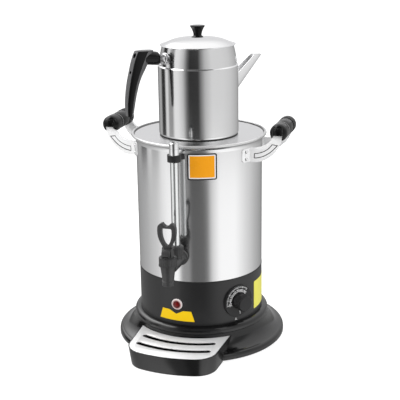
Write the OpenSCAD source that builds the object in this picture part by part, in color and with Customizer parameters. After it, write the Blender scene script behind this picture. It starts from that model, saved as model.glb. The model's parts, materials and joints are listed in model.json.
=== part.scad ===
// Electric hot water urn: tank on a black heated base, lever tap with sight
// glass, side handles, drip tray, and a teapot that stands on the flat lid.
// Origin: on the floor under the tank's axis. Front (tap) towards -Y, +Z up.

/* [Tank] */
// Outside diameter of the tank wall
tank_d = 230; // [200:1:280]
// Height from the top of the black base to the middle of the rim bead
tank_h = 250; // [200:1:350]
// Thickness of the tank and lid sheet
sheet = 1; // [0.8:0.1:1.5]
// How far the mouth flares out beyond the wall, to the middle of the bead
mouth_flare = 5.3; // [4:0.1:8]
// Radius of the rolled rim bead
bead_r = 2.6; // [2:0.1:3]
// Diameter of the steam opening in the lid
steam_d = 90; // [60:1:110]

/* [Base] */
// Height of the black base, from the floor to the seal
base_h = 136; // [120:1:180]
// Wall thickness of the base shell
shell_wall = 1.5; // [1:0.1:2.5]
// Thickness of the seal between base and tank
seal_t = 2; // [0.5:0.1:3]
// Width of the skirt's collar beyond the shell
collar_w = 11.3; // [8:0.1:15]
// Height of the top of the collar
collar_h = 53; // [45:1:70]
// Width of the skirt's lip beyond the shell
skirt_w = 42; // [35:1:60]
// Wall thickness of the skirt moulding
skirt_wall = 3; // [2:0.1:4]
// Height of the skirt's lower edge above the floor
skirt_gap = 1; // [0.5:0.1:3]
// Height of the rubber feet under the base plate
foot_h = 3.5; // [3:0.1:6]
// Thickness of the base plate
plate_t = 1.2; // [1:0.1:2]

/* [Controls] */
// Height of the middle of the dial and of the lamp
control_z = 93; // [85:1:110]
// Bearing of the dial, from the front towards +X
dial_turn = 53; // [40:1:70]
// Diameter of the dial plate
dial_d = 61; // [50:1:64]
// Width across the flats of the eight-sided knob
knob_w = 28; // [22:1:34]
// Height of the knob
knob_h = 20; // [14:1:26]
// Diameter of the knob's spindle
spindle_d = 6; // [5:0.5:8]
// Bearing of the lamp, from the front towards +X
lamp_turn = -5; // [-20:1:10]
// Diameter of the lamp's clear bezel
lamp_d = 20.6; // [16:0.1:24]

/* [Side handles] */
// Distance of the grip's axis from the tank wall
grip_out = 41.5; // [36:0.5:55]
// Height of the grip's axis above the rim bead
grip_up = 14.7; // [8:0.1:30]
// Distance between the two arms of a grip
grip_span = 72; // [64:1:90]
// Diameter of the grip's round ends
grip_d = 31; // [28:0.5:34]
// Diameter of the grip's barrel
barrel_d = 28.4; // [26:0.1:30]
// Bearing of each arm's root from the handle's own axis
root_turn = 22; // [20:0.5:28]
// Height of an arm's strap where it leaves the foot
strap_h = 24.5; // [20:0.5:27]
// Width of the strap where it enters the grip
strap_top = 16; // [12:0.5:18]
// Thickness of an arm's strap
strap_t = 7; // [5:0.5:8]

/* [Tap] */
// Height of the tap's shank
tap_z = 185.5; // [170:0.5:230]
// Distance of the spout's axis from the tank wall
spout_out = 72; // [62:1:90]
// Length of the spout below the collar
spout_l = 36; // [28:1:50]
// Diameter of the ribbed collar
collar_d = 30.6; // [29:0.1:34]
// Diameter of the valve chamber
chamber_d = 20; // [16:0.5:21]
// Diameter of the valve stem
stem_d = 9.6; // [8:0.1:11]
// Lift of the valve stem at the lever's full pull
stem_lift = 4; // [2:0.1:5]
// Full pull of the lever, degrees
lever_pull = 35; // [20:1:45]
// Width of the lever's finger loop
loop_w = 31.5; // [26:0.5:36]
// Height of the finger loop above the lever's pin
loop_h = 51; // [40:1:60]
// Thickness of the finger loop
loop_t = 9; // [6:0.5:12]
// Diameter of the lever's pin
pin_d = 3; // [2.5:0.1:4]

/* [Sight glass] */
// Distance of the glass from the tank wall
glass_out = 27; // [25:1:32]
// Outside diameter of the glass tube
glass_d = 14; // [10:0.5:16]
// Wall thickness of the glass tube
glass_wall = 1.8; // [1.2:0.1:2.5]
// Height of the cap's top above the rim bead
cap_up = 13; // [8:1:30]

/* [Teapot] */
// Outside diameter of the teapot
pot_d = 144; // [120:1:170]
// Height of the teapot up to its lid
pot_h = 160; // [130:1:200]
// Thickness of the teapot sheet
pot_sheet = 0.8; // [0.6:0.1:1.2]
// Height of the narrower band at the top of the teapot
band_h = 34; // [24:1:50]
// Diameter of the teapot's mouth
mouth_d = 132; // [110:1:160]
// Rise of the lid's dome
dome_h = 14; // [8:1:25]
// Height of the lid's knob
lid_knob_h = 22; // [16:1:32]
// Bearing of the teapot's handle, from the front towards +X
pot_turn = -42.5; // [-180:0.5:180]
// Reach of the teapot's spout from its axis
spout_reach = 136; // [120:1:150]

/* [Drip tray] */
// Height of the tray
tray_h = 35; // [28:1:38]
// Distance from the tank's axis to the tray's front edge
tray_front = 215; // [195:1:240]
// Width of the tray
tray_w = 172; // [140:1:190]
// Wall thickness of the tray
tray_wall = 2.5; // [2:0.1:4]
// Width of the slots in the tray's grid
slot_w = 9; // [6:0.5:11]

/* [Hidden] */
$fn = 96;

// Clearances, shared by every piece that fits another
fit = 0.3;          // a piece that lifts or slides off another
run = 0.05;         // a shaft that turns or slides in its bore, on the radius
bolt = 0.1;         // a fixed screw, shank or threaded piece, on the radius
cut = 0.5;          // how far a cutting shape runs past a face

steel = "gainsboro";
chrome = "white";
black = "#2b2b2b";
grey_moulding = "#3a3a3a";

// Tank
tank_r = tank_d / 2;
tank_in_r = tank_r - sheet;
seat_r = tank_r - shell_wall - 0.5;
seam_z = base_h + seal_t;
floor_z = base_h - 6;
corner_r = 5;
rim_z = base_h + tank_h;
bead_at = tank_r + mouth_flare;
cove_h = 12;
lid_seat_z = rim_z - 2;
lid_seat_r = bead_at - bead_r;
lid_top_z = lid_seat_z + sheet;

// Base
shell_in_r = tank_r - shell_wall;
pocket_z = collar_h - 9;
lip_r = tank_r + skirt_w;
flare_z = collar_h - 13;
plate_z = foot_h;
plate_top = plate_z + plate_t;
plate_r = lip_r - skirt_wall - 1.5;
screw_at = lip_r - 17;
feet_at = lip_r - 32;
foot_d = 22;
vent_r = 1.8;
gland_z = control_z - 27;
gland_bore_r = 4;
gland_out = 16;
gland_in = 14;

// Heater and thermostat
loop_r = 0.65 * tank_r;
tube_r = 4;
loop_z = floor_z + 22;
bend_r = 10;
end_turn = 20;
stud_r = 6;
leg_x = loop_r * sin(end_turn) - bend_r * cos(end_turn);
leg_y = loop_r * cos(end_turn) + bend_r * sin(end_turn);
well_at = 30;
well_r = 4.2;
well_h = 45;
bulb_r = 3;
body_w = 34;
body_front = shell_in_r - 5.5;
body_back = body_front - 24;
bush_r = 6;
dial_face = tank_r + 2;
knob_gap = 0.5;
panel_screw_at = 14;
panel_screw_r = 1.9;

// Side handles
grip_x = tank_r + grip_out;
grip_z = rim_z + grip_up;
grip_y = grip_span / 2;
grip_r = grip_d / 2;
barrel_half = grip_y - 15;
foot_r = tank_r + 3;
foot_w = 31;
foot_z = rim_z - 37.5;
foot_high = 24;
foot_mid = foot_z + foot_high / 2 + 1;
foot_turn = root_turn + 3.5;
rivet_turn = foot_turn + 3;
rivet_r = 2;
rivet_z = 6.5;
root_x = foot_r * cos(root_turn);
root_y = foot_r * sin(root_turn);
arm_end_y = grip_y + 4.5;
arm_run = norm([grip_x - root_x, root_y - arm_end_y]);
arm_turn = atan2(root_y - arm_end_y, grip_x - root_x);
arm_rise = grip_z - foot_z;
tenon_t = 4;
rod_r = 3;

// Tap
spout_y = tank_r + spout_out;
glass_y = tank_r + glass_out;
shank_r = 8;
water_r = 5.5;
barrel_r = 11;
neck_w = 9.2;
collar_z = tap_z + 9.5;
thread_r = 13;
body_top = collar_z + 10;
bonnet_flange = 3;
bonnet_top = body_top + 7;
neck_r = 11.1;
pin_z = bonnet_top + 8;
cam_r = pin_z - bonnet_top;
seat_z = tap_z - 1.5;
seat_bore_r = 5.5;
cup_h = 3;
tongue_t = 5;
round_top = pin_z - cam_r - stem_lift - fit;
hub_w = 13.6;
cam_rate = stem_lift / lever_pull * 180 / PI;
spring_z0 = seat_z + cup_h + 2;
spring_z1 = body_top;
spring_r = 6.9;
wire_d = 1;

// Sight glass
glass_r = glass_d / 2;
boss_r = glass_r + 3;
boss_top = tap_z + 21;
glass_foot = boss_top - 4.5;
gland_nut_r = glass_r + 6;
nut_z = tap_z + 13.5;
nut_up = 17;
clip_z = rim_z - 20;
clip_h = 12;
clip_foot_h = 10;
cap_top = rim_z + cap_up;
sleeve_z = clip_z + clip_h;
sleeve_h = (cap_top - sleeve_z) / 2;
sleeve_r = glass_r + 1.2;

// Teapot
pot_r = pot_d / 2;
pot_z = lid_top_z + 0.02;
pot_mouth_r = mouth_d / 2;
pot_top = pot_z + pot_h;
band_z = pot_top - band_h;
band_r = pot_r - 2.8;
pot_corner = 8;
ferrule_z = pot_top - 20;
dome_r = (pow(pot_mouth_r + 1, 2) + pow(dome_h, 2)) / (2 * dome_h);
knob_seat_z = pot_top + dome_h - 2;
spout_top = pot_top - 27;
spout_wall = 0.8;

// Drip tray
tray_gap = 0.5;
grid_t = 1;
grid_z = tray_h - grid_t;
tray_draft = 7;

// ---------- helpers ----------

function bezier(p, t) =
    pow(1 - t, 3) * p[0] + 3 * pow(1 - t, 2) * t * p[1]
    + 3 * (1 - t) * pow(t, 2) * p[2] + pow(t, 3) * p[3];

// Points of a cubic curve
function curve(p, steps) = [for (i = [0 : steps]) bezier(p, i / steps)];

function arc(centre, r, from, to, steps) =
    [for (i = [0 : steps])
        let (a = from + (to - from) * i / steps)
        centre + r * [cos(a), sin(a)]];

function backwards(list) = [for (i = [len(list) - 1 : -1 : 0]) list[i]];

// Places its children with +Z pointing out of the tank at a bearing and height
module outwards(bearing, z, r = 0) {
    rotate([0, 0, bearing])
        translate([0, -r, z])
            rotate([90, 0, 0])
                children();
}

// A cylinder along the outward direction, from radius a to radius b
module radial_rod(a, b, r) {
    translate([0, 0, a])
        cylinder(r = r, h = b - a);
}

module ring(r_out, r_in, z0, z1) {
    difference() {
        translate([0, 0, z0])
            cylinder(r = r_out, h = z1 - z0);
        translate([0, 0, z0 - cut])
            cylinder(r = r_in, h = z1 - z0 + 2 * cut);
    }
}

// A round piece with grooves cut along it all the way round
module fluted(r, z0, z1, grooves, groove_r) {
    difference() {
        translate([0, 0, z0])
            cylinder(r = r, h = z1 - z0);
        for (i = [0 : grooves - 1])
            rotate([0, 0, (i + 0.5) * 360 / grooves])
                translate([r + groove_r / 2, 0, z0 - cut])
                    cylinder(r = groove_r, h = z1 - z0 + 2 * cut, $fn = 24);
    }
}

// A closed sweep of one section shape along a path of [x, z] points in the
// XZ plane that sets out along +X; sections are rounded boxes
function section(depth, width, n, power) =
    [for (i = [0 : n - 1])
        let (a = 360 * (i + 0.5) / n, c = cos(a), s = sin(a))
        [sign(c) * pow(abs(c), power) * depth / 2,
         sign(s) * pow(abs(s), power) * width / 2]];

module swept(path, depths, widths, n = 20, power = 0.75) {
    last = len(path) - 1;
    heading = [for (i = [0 : last])
        let (d = i == 0 ? [1, 0] : path[min(i + 1, last)] - path[i - 1])
        d / norm(d)];
    points = [for (i = [0 : last])
        for (q = section(depths[i], widths[i], n, power))
            [path[i][0] - heading[i][1] * q[0],
             q[1],
             path[i][1] + heading[i][0] * q[0]]];
    sides = [for (i = [0 : last - 1])
        for (k = [0 : n - 1])
            let (a = i * n + k, b = i * n + (k + 1) % n)
            [a, b, b + n, a + n]];
    ends = [
        [for (k = [n - 1 : -1 : 0]) k],
        [for (k = [0 : n - 1]) last * n + k]
    ];
    polyhedron(points = points, faces = concat(sides, ends), convexity = 4);
}

// A smooth value through evenly spaced knots, at t from 0 to 1
function through(knots, t) =
    let (n = len(knots) - 1,
         i = min(floor(t * n), n - 1),
         u = t * n - i,
         a = knots[max(i - 1, 0)],
         b = knots[i],
         c = knots[i + 1],
         d = knots[min(i + 2, n)])
    0.5 * (2 * b + (c - a) * u + (2 * a - 5 * b + 4 * c - d) * u * u
           + (3 * b - a - 3 * c + d) * u * u * u);

// ---------- tank and lid ----------

module rivet_places() {
    for (side = [-1, 1], end = [-1, 1], up = [-1, 1])
        outwards(side * (90 + end * rivet_turn), foot_mid + up * rivet_z)
            children();
}

module leg_places() {
    for (x = [-leg_x, leg_x])
        translate([x, leg_y, 0])
            children();
}

module tank() {
    color(steel)
    difference() {
        union() {
            rotate_extrude() {
                polygon(concat(
                    [[0, floor_z]],
                    arc([seat_r - corner_r, floor_z + corner_r], corner_r, -90, 0, 8),
                    [[seat_r, seam_z], [tank_r, seam_z]],
                    curve([[tank_r, rim_z - cove_h], [tank_r, rim_z - cove_h / 2],
                           [bead_at - 2.3, rim_z - 3.4], [bead_at, rim_z - bead_r]], 8),
                    [[bead_at, rim_z], [lid_seat_r, rim_z], [lid_seat_r, lid_seat_z],
                     [tank_in_r, lid_seat_z], [tank_in_r, seam_z + sheet],
                     [seat_r - sheet, seam_z + sheet]],
                    arc([seat_r - corner_r, floor_z + corner_r], corner_r - sheet, 0, -90, 8),
                    [[0, floor_z + sheet]]
                ));
                translate([bead_at, rim_z])
                    circle(r = bead_r, $fn = 32);
            }
            outwards(dial_turn, floor_z + sheet - 0.5, well_at)
                rotate([-90, 0, 0])
                    cylinder(r = well_r, h = well_h);
        }
        outwards(dial_turn, floor_z - cut, well_at)
            rotate([-90, 0, 0])
                cylinder(r = bulb_r + bolt, h = well_h);
        outwards(0, tap_z)
            radial_rod(tank_r - 9, tank_r + 9, shank_r + bolt);
        leg_places()
            translate([0, 0, floor_z - cut])
                cylinder(r = stud_r + bolt, h = sheet + 2 * cut);
        rivet_places()
            radial_rod(tank_r - 9, tank_r + 9, rivet_r + run);
        outwards(0, clip_z + clip_foot_h / 2 - 2)
            radial_rod(tank_r - 9, tank_r + 9, panel_screw_r + run);
    }
}

module tank_lid() {
    color(steel)
    rotate_extrude()
        polygon([
            [steam_d / 2, lid_seat_z - 6],
            [steam_d / 2, lid_top_z],
            [lid_seat_r - 0.4, lid_top_z],
            [lid_seat_r - 0.4, lid_seat_z],
            [tank_in_r - 2 * fit, lid_seat_z],
            [tank_in_r - 2 * fit, lid_seat_z - 10],
            [tank_in_r - 2 * fit - sheet, lid_seat_z - 10],
            [tank_in_r - 2 * fit - sheet, lid_seat_z],
            [steam_d / 2 + sheet, lid_seat_z],
            [steam_d / 2 + sheet, lid_seat_z - 6]
        ]);
}

// ---------- base ----------

module seam_gasket() {
    color(black)
    ring(tank_r + 0.4, seat_r + 0.2, base_h, seam_z);
}

module base_shell() {
    color(black)
    difference() {
        ring(tank_r, shell_in_r, pocket_z, base_h);
        outwards(dial_turn, control_z)
            radial_rod(tank_r - 9, tank_r + 9, bush_r + bolt);
        for (x = [-panel_screw_at, panel_screw_at])
            outwards(dial_turn, control_z)
                translate([x, 0, 0])
                    radial_rod(tank_r - 9, tank_r + 9, panel_screw_r + run);
        outwards(lamp_turn, control_z)
            radial_rod(tank_r - 9, tank_r + 9, 6 + bolt);
        outwards(180, gland_z)
            radial_rod(tank_r - 9, tank_r + 9, 8 + bolt);
    }
}

// Outside of the skirt from its top edge down to the lip, grown by g
function skirt_outline(g) = concat(
    curve([[tank_r + fit, collar_h + g], [tank_r + collar_w / 2, collar_h + 0.5 + g],
           [tank_r + collar_w - 0.3 + g, collar_h - 1.5], [tank_r + collar_w + g, collar_h - 7]], 8),
    [[tank_r + collar_w + g, flare_z + 1.5], [tank_r + collar_w - 0.7 + g, flare_z]],
    curve([[tank_r + collar_w - 0.7 + g, flare_z - 0.4], [tank_r + collar_w + 1.5 + g, flare_z - 14 + g],
           [lip_r - 20 + g / 2, 16.5 + g], [lip_r - 7, 13.5 + g]], 14),
    curve([[lip_r - 6.9, 13.5 + g], [lip_r - 2 + g, 13.5 + g],
           [lip_r + g, 10.5], [lip_r + g, 6]], 7)
);

module base_skirt() {
    inner_r = tank_r + collar_w - skirt_wall;
    color(black)
    difference() {
        union() {
            rotate_extrude()
                polygon(concat(
                    skirt_outline(0),
                    [[lip_r, 2.5], [lip_r - 1.5, skirt_gap], [lip_r - skirt_wall, skirt_gap],
                     [lip_r - skirt_wall, 8], [lip_r - 7, 10.5]],
                    backwards(curve([[inner_r - 0.5, flare_z - 1], [inner_r + 1, flare_z - 17],
                                     [lip_r - 22, 13.5], [lip_r - 8, 10.5]], 12)),
                    [[inner_r - 0.5, pocket_z - skirt_wall],
                     [shell_in_r - 2.5, pocket_z - skirt_wall], [shell_in_r - 2.5, pocket_z],
                     [tank_r + fit, pocket_z]]
                ));
            for (a = [45 : 90 : 315])
                rotate([0, 0, a + 20])
                    translate([screw_at, 0, plate_top])
                        cylinder(r = 4.5, h = 8, $fn = 32);
        }
        for (a = [45 : 90 : 315])
            rotate([0, 0, a + 20])
                translate([screw_at, 0, plate_top - cut])
                    cylinder(r = 1.6, h = 7 + cut, $fn = 32);
    }
}

module base_plate() {
    color(steel)
    difference() {
        translate([0, 0, plate_z])
            cylinder(r = plate_r, h = plate_t);
        for (a = [45 : 90 : 315]) {
            rotate([0, 0, a + 20])
                translate([screw_at, 0, plate_z - cut])
                    cylinder(r = 1.6, h = plate_t + 2 * cut, $fn = 32);
            rotate([0, 0, a])
                translate([feet_at, 0, plate_z - cut])
                    cylinder(r = 4 + bolt, h = plate_t + 2 * cut, $fn = 32);
        }
        for (r = [40, 50], a = [0 : 24 : 336])
            rotate([0, 0, a + r])
                translate([r, 0, plate_z - cut])
                    cylinder(r = vent_r, h = plate_t + 2 * cut, $fn = 16);
    }
}

module rubber_feet() {
    color(black)
    for (a = [45 : 90 : 315])
        rotate([0, 0, a])
            translate([feet_at, 0, 0]) {
                cylinder(r1 = foot_d / 2 - 1, r2 = foot_d / 2, h = plate_z, $fn = 48);
                translate([0, 0, plate_z - 0.01])
                    cylinder(r = 4, h = plate_t + 0.02, $fn = 32);
                translate([0, 0, plate_top])
                    cylinder(r1 = 5.5, r2 = 4, h = 2.5, $fn = 32);
            }
}

module base_screws() {
    color("silver")
    for (a = [45 : 90 : 315])
        rotate([0, 0, a + 20])
            translate([screw_at, 0, 0]) {
                translate([0, 0, plate_z - 2])
                    cylinder(r = 3.5, h = 2, $fn = 32);
                translate([0, 0, plate_z - 0.01])
                    cylinder(r = 1.5, h = 7, $fn = 32);
            }
}

// ---------- heater and electrics ----------

// Stations of the heating tube from one stud to the other: each is a place,
// the direction of travel and a direction across it
function tube_bend(turn, from, step) =
    let (t = [cos(turn), -sin(turn), 0],
         u = [sin(turn), cos(turn), 0],
         c = loop_r * u + [0, 0, loop_z - bend_r])
    [for (i = [0 : 5])
        let (a = from + step * i)
        [c + bend_r * [-cos(a) * t[0], -cos(a) * t[1], sin(a)],
         [sin(a) * t[0], sin(a) * t[1], cos(a)], u]];

function tube_loop() =
    [for (i = [1 : 59])
        let (a = end_turn + (360 - 2 * end_turn) * i / 60)
        [[loop_r * sin(a), loop_r * cos(a), loop_z], [cos(a), -sin(a), 0], [sin(a), cos(a), 0]]];

module heating_element() {
    n = 16;
    low = [0, 0, floor_z - loop_z + bend_r - 10];
    bends = [tube_bend(end_turn, 0, 18), tube_bend(360 - end_turn, 90, 18)];
    first = bends[0][0];
    last = bends[1][5];
    way = concat([[first[0] + low, first[1], first[2]]], bends[0], tube_loop(), bends[1],
                 [[last[0] + low, last[1], last[2]]]);
    points = [for (w = way)
        for (k = [0 : n - 1])
            w[0] + tube_r * (cos(360 * k / n) * w[2] + sin(360 * k / n) * cross(w[1], w[2]))];
    end = len(way) - 1;
    faces = concat(
        [[for (k = [0 : n - 1]) k]],
        [for (i = [0 : end - 1])
            for (k = [0 : n - 1])
                let (a = i * n + k, b = i * n + (k + 1) % n)
                [a, a + n, b + n, b]],
        [[for (k = [n - 1 : -1 : 0]) end * n + k]]
    );
    color("dimgray") {
        polyhedron(points = points, faces = faces, convexity = 6);
        leg_places() {
            translate([0, 0, floor_z - 12])
                cylinder(r = stud_r, h = 14 + sheet, $fn = 48);
            translate([0, 0, floor_z + sheet + 2])
                cylinder(r = stud_r + 2.5, h = 2, $fn = 48);
            translate([0, 0, floor_z - 22])
                cylinder(r = 1.5, h = 12, $fn = 24);
        }
    }
}

module element_gaskets() {
    color("firebrick")
    leg_places()
        ring(stud_r + 2, stud_r + bolt, floor_z + sheet, floor_z + sheet + 2);
}

module element_nuts() {
    color("goldenrod")
    leg_places()
        difference() {
            translate([0, 0, floor_z - 6])
                cylinder(r = stud_r + 4.4, h = 6, $fn = 6);
            translate([0, 0, floor_z - 6 - cut])
                cylinder(r = stud_r + run, h = 6 + 2 * cut, $fn = 48);
        }
}

module thermostat_body() {
    color("ivory")
    difference() {
        outwards(dial_turn, control_z) {
            translate([-body_w / 2, -body_w / 2, body_back])
                cube([body_w, body_w, body_front - body_back]);
            intersection() {
                union() {
                    radial_rod(body_front - 1, tank_r + 1.4, bush_r);
                    for (x = [-panel_screw_at, panel_screw_at])
                        translate([x, 0, 0])
                            radial_rod(body_front - 1, shell_in_r, 3.4);
                }
                union() {
                    rotate([90, 0, 0])
                        translate([0, 0, -body_w])
                            cylinder(r = shell_in_r - 0.02, h = 2 * body_w);
                    radial_rod(body_front - 1, tank_r + 1.4, bush_r);
                }
            }
        }
        outwards(dial_turn, control_z)
            radial_rod(body_back + 8, tank_r + 3, spindle_d / 2 + run);
        for (x = [-panel_screw_at, panel_screw_at])
            outwards(dial_turn, control_z)
                translate([x, 0, 0])
                    radial_rod(body_front - 8, tank_r, panel_screw_r + run);
    }
}

module thermostat_bulb() {
    capillary_z = control_z + body_w / 2 - 6;
    bend_r = 10;
    color("sandybrown")
    rotate([0, 0, dial_turn])
        translate([0, -well_at, 0]) {
            translate([0, 0, floor_z - 2])
                cylinder(r = bulb_r, h = well_h - 4, $fn = 32);
            translate([0, 0, capillary_z + bend_r])
                cylinder(r = 1, h = floor_z - capillary_z - bend_r - 1, $fn = 24);
            translate([0, -bend_r, capillary_z + bend_r])
                rotate([0, 0, 90])
                    rotate([90, 0, 0])
                        rotate([0, 0, -90])
                            rotate_extrude(angle = 90)
                                translate([bend_r, 0])
                                    circle(r = 1, $fn = 24);
            translate([0, -bend_r, capillary_z])
                rotate([90, 0, 0])
                    cylinder(r = 1, h = body_back - well_at - bend_r, $fn = 24);
        }
}

module panel_screws() {
    color("silver") {
        for (x = [-panel_screw_at, panel_screw_at])
            outwards(dial_turn, control_z)
                translate([x, 0, 0]) {
                    radial_rod(body_front - 7, tank_r + 0.2, panel_screw_r);
                    radial_rod(tank_r, tank_r + 1.4, 3.2);
                }
        outwards(0, clip_z + clip_foot_h / 2 - 2) {
            radial_rod(tank_r - 5, tank_r + 2, panel_screw_r);
            radial_rod(tank_r + 1.6, tank_r + 3.2, 3.2);
            radial_rod(tank_in_r - 3, tank_in_r - 0.2, 3.4);
        }
    }
}

module overheat_cutout() {
    color("silver")
    translate([-38, -18, 0]) {
        translate([0, 0, floor_z - 2])
            cylinder(r = 12, h = 2, $fn = 48);
        translate([0, 0, floor_z - 10])
            cylinder(r = 8.5, h = 8.2, $fn = 48);
        for (x = [-4.5, 4.5])
            translate([x - 0.4, -3, floor_z - 18])
                cube([0.8, 6, 8.2]);
    }
}

module terminal_block() {
    color("ivory")
    difference() {
        translate([-24, 62, plate_top])
            cube([48, 20, 17]);
        for (x = [-16, 0, 16]) {
            translate([x, 61, plate_top + 8])
                rotate([-90, 0, 0])
                    cylinder(r = 2.6, h = 22, $fn = 24);
            translate([x, 72, plate_top + 8])
                cylinder(r = 2, h = 10, $fn = 24);
        }
        for (x = [-8, 8])
            translate([x - 1, 61, plate_top + 12])
                cube([2, 22, 6]);
    }
}

module cable_gland() {
    color(black)
    difference() {
        outwards(180, gland_z) {
            radial_rod(tank_r - gland_in, tank_r + 1, 8);
            translate([0, 0, tank_r + 0.6])
                cylinder(r = 11.5, h = 5, $fn = 6);
            translate([0, 0, tank_r + 5.6])
                cylinder(r1 = 9.6, r2 = 6.6, h = gland_out - 5.6, $fn = 48);
        }
        outwards(180, gland_z)
            radial_rod(tank_r - gland_in - cut, tank_r + gland_out + cut, gland_bore_r);
        translate([0, 0, gland_z - 20])
            intersection() {
                cylinder(r = tank_r, h = 40);
                outwards(180, 20)
                    difference() {
                        radial_rod(tank_r - 20, tank_r + 20, 20);
                        radial_rod(tank_r - 21, tank_r + 21, 8);
                    }
            }
    }
}

module gland_locknut() {
    color(black)
    difference() {
        outwards(180, gland_z)
            translate([0, 0, shell_in_r - 6])
                cylinder(r = 12, h = 5.2, $fn = 6);
        outwards(180, gland_z)
            radial_rod(tank_r - 20, tank_r, 8 + run);
    }
}

// ---------- lamp, dial and knob ----------

module lamp_body() {
    color("ivory")
    difference() {
        outwards(lamp_turn, control_z) {
            radial_rod(tank_r - 24, tank_r + 0.5, 6);
            for (x = [-3, 3])
                translate([x - 0.4, -2, tank_r - 32])
                    cube([0.8, 4, 9]);
        }
        outwards(lamp_turn, control_z)
            radial_rod(tank_r - 2, tank_r + 3, 5.2);
    }
}

module lamp_bezel() {
    color("mistyrose")
    difference() {
        outwards(lamp_turn, control_z)
            difference() {
                union() {
                    radial_rod(tank_r - 2, tank_r + 1.3, lamp_d / 2);
                    translate([0, 0, tank_r + 1.3])
                        cylinder(r1 = lamp_d / 2, r2 = lamp_d / 2 - 1.2, h = 1.2);
                }
                radial_rod(tank_r - 3, tank_r + 5, 6.6);
            }
        tank_space(control_z - 60, 120);
    }
}

module lamp_lens() {
    dome = 2.4;
    lens_r = 6.5;
    ball = (pow(lens_r, 2) + pow(dome, 2)) / (2 * dome);
    color("firebrick")
    outwards(lamp_turn, control_z) {
        radial_rod(tank_r + 0.6, tank_r + 2.6, lens_r);
        radial_rod(tank_r - 1.8, tank_r + 0.7, 5.1);
        intersection() {
            translate([0, 0, tank_r + 2.6 + dome - ball])
                sphere(r = ball);
            radial_rod(tank_r + 2.6, tank_r + 8, lens_r);
        }
    }
}

module dial_plate() {
    color("#222222")
    difference() {
        outwards(dial_turn, control_z) {
            radial_rod(tank_r - 8, dial_face - 0.6, dial_d / 2);
            translate([0, 0, dial_face - 0.6])
                cylinder(r1 = dial_d / 2, r2 = dial_d / 2 - 0.6, h = 0.6);
        }
        tank_space(control_z - 60, 120);
        outwards(dial_turn, control_z) {
            radial_rod(tank_r - 9, tank_r + 9, bush_r + bolt);
            for (x = [-panel_screw_at, panel_screw_at])
                translate([x, 0, 0])
                    radial_rod(tank_r - 9, tank_r + 1.5, 3.5);
        }
    }
}

module thermostat_spindle() {
    color("silver")
    outwards(dial_turn, control_z)
        radial_rod(body_back + 9, dial_face + 14, spindle_d / 2);
}

module thermostat_knob() {
    face = dial_face + knob_gap + knob_h;
    color("#262626")
    difference() {
        outwards(dial_turn, control_z)
            intersection() {
                rotate([0, 0, 22.5])
                    translate([0, 0, dial_face + knob_gap])
                        cylinder(d = knob_w / cos(22.5), h = knob_h, $fn = 8);
                union() {
                    radial_rod(dial_face, face - 1.5, knob_w);
                    translate([0, 0, face - 1.5])
                        cylinder(r1 = knob_w / 2 + 0.9, r2 = knob_w / 2 - 0.6, h = 1.6);
                }
            }
        outwards(dial_turn, control_z)
            radial_rod(dial_face, dial_face + 14 + run, spindle_d / 2 + run);
        outwards(dial_turn, control_z)
            radial_rod(dial_face, dial_face + 2, bush_r + 1.5);
    }
}

// ---------- side handles ----------

// Places its children on one of the four arms; x runs along the arm from the
// wall side of its root, z is height and -y the strap's outer face
module arm_place(side, end) {
    mirror([side < 0 ? 1 : 0, 0, 0])
        mirror([0, end > 0 ? 1 : 0, 0])
            translate([root_x, -root_y, 0])
                rotate([0, 0, arm_turn])
                    children();
}

// A point of the strap's outline, as shares of the arm's run and rise
function strap_at(run_share, rise_share, ahead = 0) =
    [run_share * arm_run + ahead, foot_z + rise_share * arm_rise];

strap_half = strap_top / 2;
strap_end = 1 - 3.2 / arm_rise;
strap_low = [strap_at(0.17, 0), strap_at(0.59, 0),
             strap_at(1, 0.414, strap_half - 1.3), strap_at(1, strap_end, strap_half)];
strap_high = [strap_at(0.08, strap_h / arm_rise), strap_at(0.42, strap_h / arm_rise),
              strap_at(1, 0.68, -strap_half - 3.4), strap_at(1, strap_end, -strap_half)];
panel_low = [strap_at(0.106, 0.122), strap_at(0.507, 0.122),
             strap_at(0.825, 0.376), strap_at(1.01, 0.601)];
panel_high = [strap_at(0.116, 0.305), strap_at(0.359, 0.305),
              strap_at(0.655, 0.433), strap_at(0.78, 0.635)];

// Side outline of the strap, grown by g
module strap_outline(g = 0) {
    polygon(concat(
        [[-5, foot_z - g]],
        [for (i = [0 : 16]) bezier(strap_low, i / 16) + g * [0.7, i / 8 - 1]],
        [for (p = backwards(curve(strap_high, 16))) p + g * [-0.7, 0.7]],
        [[-5, foot_z + strap_h + g]]
    ));
}

module arm(side, end) {
    color(chrome)
    difference() {
        union() {
            arm_place(side, end)
                difference() {
                    union() {
                        translate([0, strap_t / 2, 0])
                            rotate([90, 0, 0])
                                linear_extrude(height = strap_t)
                                    strap_outline();
                        translate([arm_run - strap_half + 1, strap_t / 2 - tenon_t, grip_z - 4])
                            cube([strap_top - 2, tenon_t, 12]);
                    }
                    translate([0, -strap_t / 2 + 0.8, 0])
                        rotate([90, 0, 0])
                            linear_extrude(height = 1)
                                polygon(concat(curve(panel_low, 12), backwards(curve(panel_high, 12))));
                }
            arm_foot(side, end);
        }
        tank_space(foot_z - 20, 80);
        rivet_places()
            radial_rod(tank_r - 9, tank_r + 9, rivet_r + run);
        grip_rod_hole(side);
    }
}

// What the tank or shell takes up, for the backs of pieces that lie on it
module tank_space(z0, h) {
    translate([0, 0, z0])
        cylinder(r = tank_r + 0.02, h = h, $fn = 360);
}

// Curved foot plate with rounded corners, on the tank wall
module arm_foot(side, end) {
    intersection() {
        translate([0, 0, foot_z - 2])
            cylinder(r = foot_r, h = foot_high + 6, $fn = 360);
        outwards(side * (90 + end * foot_turn), foot_mid)
            translate([0, 0, tank_r - 12])
                linear_extrude(height = 24)
                    rounded_box(foot_w, foot_high, 6);
    }
}

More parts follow.
